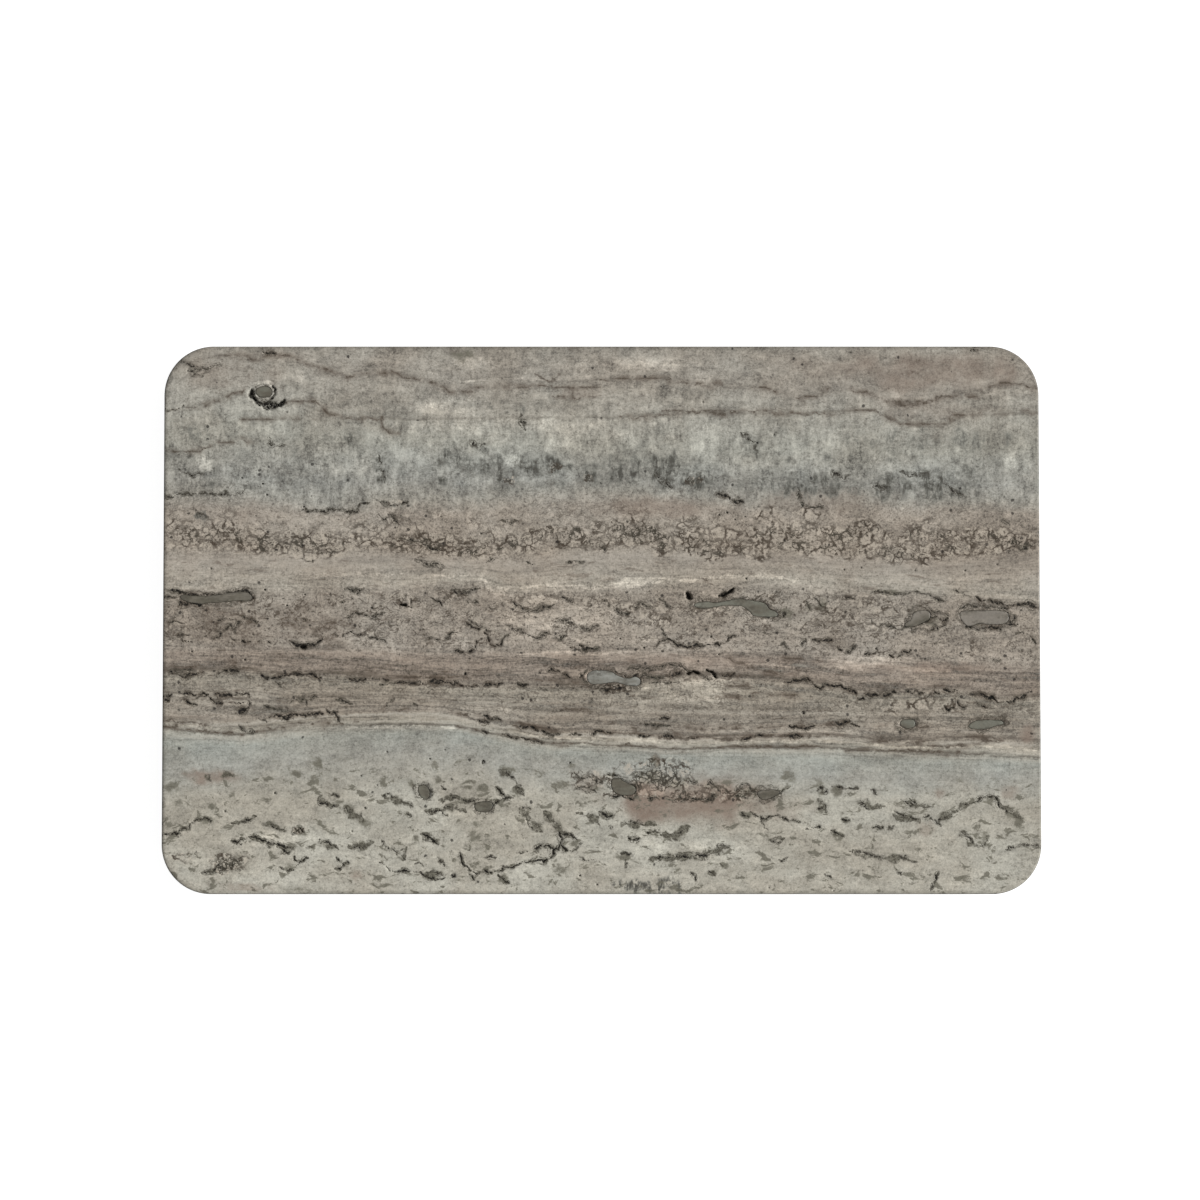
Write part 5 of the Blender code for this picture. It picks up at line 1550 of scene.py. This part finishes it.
    # Crinkles are contour lines of a noise, kept in places only, which swell here and there
    thread = r.contours(small, 0.03)
    wave = r.total(r.noise(r.stretched(place, 0.6, 1.0), 190, 2.0, 0.5, 0.8), r.about(fine, 0.15))
    kept = r.rise(r.total(patchwork, r.about(broad, 1.0)), 0.46, 0.55)
    swell = r.total(0.016, r.product(r.rise(small, 0.48, 0.6), 0.05))
    both_waves = r.maths("MAXIMUM", r.contours(wave, swell), r.contours(wave, 0.014, 0.6))
    crinkle = r.product(both_waves, kept, crinkled)
    colour = r.blend(r.product(crinkle, 0.85), colour, CLOT_DARK)

    # Olive patches with soft edges and a few crumbs
    chains = r.noise(r.stretched(place, 0.6, 1.0), 210, 4.0, 0.66, 0.5)
    seeded = r.product(r.rise(chains, 0.54, 0.66), patchy, 0.9)
    patch = r.maths("MAXIMUM", uneven("olive", ground, 5.0), seeded)
    ragged_patch = r.total(patch, r.product(r.about(fine, 1.5), r.rise(patch, 0.0, 0.3)))
    body = r.rise(ragged_patch, 0.05, 0.7)
    crumbs = r.product(r.rise(patch, 0.5, 1.0), r.maths("MAXIMUM", thread, r.rise(crumb, 0.56, 0.68)))
    colour = r.blend(r.product(body, 0.85), colour, OLIVE)
    colour = r.blend(r.product(crumbs, 0.5), colour, OLIVE_RIM_AND_ARRIS_SHADE)

    # Black lace along both sides of a crack's vein, with threads across it
    field = uneven("lace", r.total(r.product(small, 0.5), r.product(crumb, 0.5)), 7.0)
    lace = r.product(r.contours(field, 0.3, 0.42), r.rise(fine, 0.42, 0.52))
    threads = r.product(r.rise(field, 0.4, 0.7), r.contours(small, 0.05))
    colour = r.blend(r.product(r.maths("MAXIMUM", lace, threads), 0.85), colour, OLIVE_RIM_AND_ARRIS_SHADE)

    # Pale grains in a dark matrix, dense in the clots
    bent = r.bent(place, 300.0, 2.0, 4 * MM)
    small_gap = r.cells(bent, 290, "DISTANCE_TO_EDGE")["Distance"]
    large_gap = r.product(r.cells(bent, 170, "DISTANCE_TO_EDGE")["Distance"], 290 / 170)
    fine_gap = r.product(r.cells(bent, 460, "DISTANCE_TO_EDGE")["Distance"], 1.3)
    loose = r.product(grainy, r.rise(r.total(patchwork, r.about(fine, 0.7)), 0.45, 0.62), 0.7)
    clots = r.maths("MAXIMUM", uneven("clots", ground, 6.0), loose)
    dense = r.rise(clots, 0.7, 1.6)
    to_edge = r.between(r.rise(ground, 0.46, 0.5), small_gap, large_gap)
    only_dense = r.product(r.maths("SUBTRACT", 1.0, dense), 0.25)
    to_edge = r.maths("MINIMUM", to_edge, r.total(fine_gap, only_dense))
    ragged = r.total(to_edge, r.about(small, 0.35), r.about(crumb, 0.25), r.product(dense, 0.02))
    gaps = r.rise(ragged, 0.17, 0.09)
    in_places = r.total(r.product(r.rise(patchwork, 0.42, 0.56), 0.5), 0.5)
    spread_out = r.product(r.rise(clots, 0.1, 0.6), in_places)
    matrix = r.product(gaps, r.maths("MAXIMUM", spread_out, dense), r.total(0.8, r.product(broken, 0.2)))
    grains = r.product(r.rise(ragged, 0.17, 0.3), r.rise(chip, 0.1, 0.8), r.rise(clots, 0.1, 0.6))
    colour = r.blend(r.product(grains, 0.7), colour, CLOT_PALE)
    colour = r.blend(r.product(dense, 0.15), colour, BROWN_LINE)
    colour = r.blend(matrix, colour, r.blend(dense, CLOT_DARK, OLIVE_RIM_AND_ARRIS_SHADE))

    # Veins, brown with a darker core in places
    vein = uneven("vein", patchwork, 4.0)
    colour = r.blend(r.product(r.rise(vein, 0.05, 1.1), 0.55), colour, BROWN_LINE)
    core = r.rise(r.total(r.held("vein"), r.about(fine, 1.2)), 0.7, 0.9)
    core = r.product(core, r.total(0.6, r.product(broken, 0.4)))
    colour = r.blend(r.product(core, r.rise(patchwork, 0.3, 0.45), 0.8), colour, CLOT_DARK)

    # Specks, and round pores of many sizes; the pores' black is dirt and painted shade
    specks = r.product(r.rise(r.total(fine, r.about(crumb, 0.8)), 0.4, 0.33), r.total(0.2, porous))
    colour = r.blend(r.product(specks, 0.7), colour, CLOT_DARK)
    cell = r.cells(place, 250, "F1")
    draw = r.parts(cell["Color"])[0]
    size = r.total(0.13, r.about(draw, 0.1), r.about(fine, 0.6))
    pore = r.product(r.rise(r.maths("SUBTRACT", size, cell["Distance"]), -0.04, 0.04),
                     r.maths("GREATER_THAN", r.total(draw, r.product(porous, 0.35)), 0.985))
    speckled = r.grained(grain, colour, 0.4, 1700.0)

    # Dirt with painted shade, black in the holes and cracks, and painted shade on the arris
    dirt_and_hollow_shade = uneven("dirt_and_hollow_shade", r.total(r.product(crumb, 0.6), r.product(fine, 0.4)), 10.0)
    soft = r.rise(dirt_and_hollow_shade, 0.2, 0.7)
    black = r.maths("MAXIMUM", r.rise(dirt_and_hollow_shade, 0.6, 1.1), r.product(pore, 0.8))
    # Painted shade on the arris
    with_painted_arris_shade = r.blend(r.product(r.held("arris"), PAINTED_ARRIS_SHADE), speckled["Colour"], OLIVE_RIM_AND_ARRIS_SHADE)
    colour = r.blend(r.product(soft, 0.85), with_painted_arris_shade, OLIVE_RIM_AND_ARRIS_SHADE)
    colour = r.blend(black, colour, HOLE_DIRT_AND_SHADE)

    # What is dark is also a little hollow and dull
    hollows = r.total(r.product(matrix, 0.5), r.product(crinkle, 0.5), r.product(crumbs, 0.5),
                      specks, soft, pore)
    height = r.total(r.product(speckled["Height"], 0.3), r.product(mottle, 0.5), r.product(hollows, -1.0))
    roughness = r.total(0.5, r.about(fine, 0.6), r.product(hollows, 0.1), r.product(black, 0.2))
    r.finish(shader, colour, height, 0.35, 0.12 * MM, roughness)
    return material


def filler_material(name, colour, smear, grain):
    """Honed filler: smooth and even, with faint smears and a dirty edge."""
    material, r, shader = new_material(name, IOR=1.47)
    place = r.object_place()
    streak = r.noise(r.stretched(place, 0.4, 1.0), 260, 4.0, 0.6)
    broad = r.noise(r.stretched(place, 0.6, 1.0), 110, 3.0, 0.6)
    smeared = r.blend(r.rise(streak, 0.4, 0.65), colour, smear)
    tone = r.total(r.held("tone"), r.about(broad, 3.0), r.about(streak, 2.0))
    speckled = r.grained(grain, r.blend(tone, smeared, DEEP_FILLER), 0.5, 900.0)
    crumb = r.noise(place, 800, 3.0, 0.7)
    edge = r.rise(r.total(r.held("edge"), r.about(streak, 5.0), r.about(crumb, 4.0)), 0.4, 1.2)
    threads = r.product(r.contours(crumb, 0.03), r.rise(streak, 0.5, 0.62), 0.5)
    dirty = r.blend(r.maths("MAXIMUM", r.product(edge, 0.5), threads), speckled["Colour"], OLIVE_RIM_AND_ARRIS_SHADE)
    r.finish(shader, dirty, speckled["Height"], 0.15, 0.05 * MM, r.total(0.38, r.about(streak, 0.15)))
    return material


def plain_material(name, colour, roughness, amount, scale, bump_strength, grain):
    """An even material with grain of its own scale: the feet's rubber and the tape's foam."""
    material, r, shader = new_material(name)
    speckled = r.grained(grain, colour, amount, scale)
    dullness = r.total(roughness, r.about(speckled["Height"], 0.2))
    r.finish(shader, speckled["Colour"], speckled["Height"], bump_strength, 0.1 * MM, dullness)
    return material


# The stage
def make_world():
    """Even light from all round, which camera, glossy and transmitted rays see as a white of strength 1."""
    world = bpy.data.worlds.new("Studio")
    world.use_nodes = True
    r = Recipe(world.node_tree)
    path = r.node("LightPath", {}).outputs
    seen = r.maths("MAXIMUM", path["Is Camera Ray"], path["Is Glossy Ray"])
    seen = r.maths("MAXIMUM", seen, path["Is Transmission Ray"])
    plain = r.tree.nodes["Background"]
    plain.inputs["Color"].default_value = WHITE
    plain.inputs["Strength"].default_value = WORLD_LIGHT
    white = r.node("Background", {"Color": WHITE, "Strength": 1.0})
    mixed = r.node("MixShader", {0: seen, 1: plain.outputs[0], 2: white.outputs[0]})
    r.tree.links.new(mixed.outputs[0], r.tree.nodes["World Output"].inputs[0])
    bpy.context.scene.world = world


def make_floor():
    """A pale floor that the camera sees as white, apart from the tray's soft shadow."""
    half = FLOOR_SIZE / 2
    vertices = np.array([[-half, -half, 0], [half, -half, 0], [half, half, 0], [-half, half, 0]])
    material, r, shader = new_material("Studio floor", Roughness=0.9)
    shader.inputs["Base Color"].default_value = (FLOOR_GREY, FLOOR_GREY, FLOOR_GREY, 1)
    path = r.node("LightPath", {}).outputs
    strength = r.product(path["Is Camera Ray"], FLOOR_LIFT)
    lift = r.node("Emission", {"Color": WHITE, "Strength": strength})
    both = r.node("AddShader", {0: shader.outputs[0], 1: lift.outputs[0]})
    r.tree.links.new(both.outputs[0], r.tree.nodes["Material Output"].inputs[0])
    new_object("studio_floor", vertices, [[0, 1, 2, 3]], material)


def make_key_light():
    """One broad lamp, low on the right, which lights the right arris and leaves the left one dark."""
    data = bpy.data.lights.new("Key", "SUN")
    data.energy = KEY_LIGHT
    data.angle = KEY_LIGHT_WIDTH
    lamp = bpy.data.objects.new("Key", data)
    lamp.rotation_euler = KEY_LIGHT_TURN
    bpy.context.scene.collection.objects.link(lamp)


def make_camera():
    """A camera almost straight above, a little towards the front, framed as the photograph is."""
    data = bpy.data.cameras.new("Camera")
    data.sensor_fit = "AUTO"
    data.sensor_width = SENSOR
    data.lens = SENSOR * CAMERA_DISTANCE / (FRAME_PIXELS * PIXEL)
    aim_x = (FRAME_MIDDLE - PHOTO_MID_X) * PIXEL
    aim_y = (PHOTO_MID_Y - FRAME_MIDDLE - HALF_PIXEL) * PIXEL
    aim = Vector((aim_x, aim_y, TOP))
    back = Vector((0, -math.sin(CAMERA_TILT), math.cos(CAMERA_TILT)))
    camera = bpy.data.objects.new("Camera", data)
    camera.location = aim + back * CAMERA_DISTANCE
    camera.rotation_euler = (CAMERA_TILT, 0, 0)
    bpy.context.scene.collection.objects.link(camera)
    bpy.context.scene.camera = camera


def main():
    """Sets the stage, then makes every piece."""
    bpy.context.scene.view_settings.view_transform = "Standard"
    make_camera()
    make_world()
    make_key_light()
    make_floor()
    grain = grain_effect()
    fillers = {slot: filler_material(name, colour, smear, grain) for slot, name, colour, smear in FILLERS}
    rubber = plain_material("Foot rubber", RUBBER_BLACK, 0.6, 0.3, 1500.0, 0.3, grain)
    foam = plain_material("Foam tape", FOAM_WHITE, 0.75, 0.25, 900.0, 0.5, grain)

    slots = {row["node"]: row["material_slot"] for row in frame["record"]["subparts"]}
    outlines = [filling_outline(name) for name in FILLINGS]
    floors = [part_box(name)[0].z - BELOW_FILLING for name in FILLINGS]
    slab = make_slab(stone_maps(outlines), outlines, floors, stone_material(grain))
    take_the_place(slab, "stone_slab")
    for name, outline in zip(FILLINGS, outlines):
        make_filling(name, outline, fillers[slots[name]])
    for side in ("front_left", "front_right", "back_left", "back_right"):
        low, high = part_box("foot_" + side)
        profile = foot_profile(low.z, high.z, (high.x - low.x) / 2)
        make_turned("foot_" + side, profile, "bumper_" + side, rubber)
        tape_low, tape_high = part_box("adhesive_" + side)
        # The tape reaches down to the foot and up to the stone
        profile = tape_profile(high.z, BOTTOM, (tape_high.x - tape_low.x) / 2)
        make_turned("adhesive_" + side, profile, "tape_" + side, foam)


main()
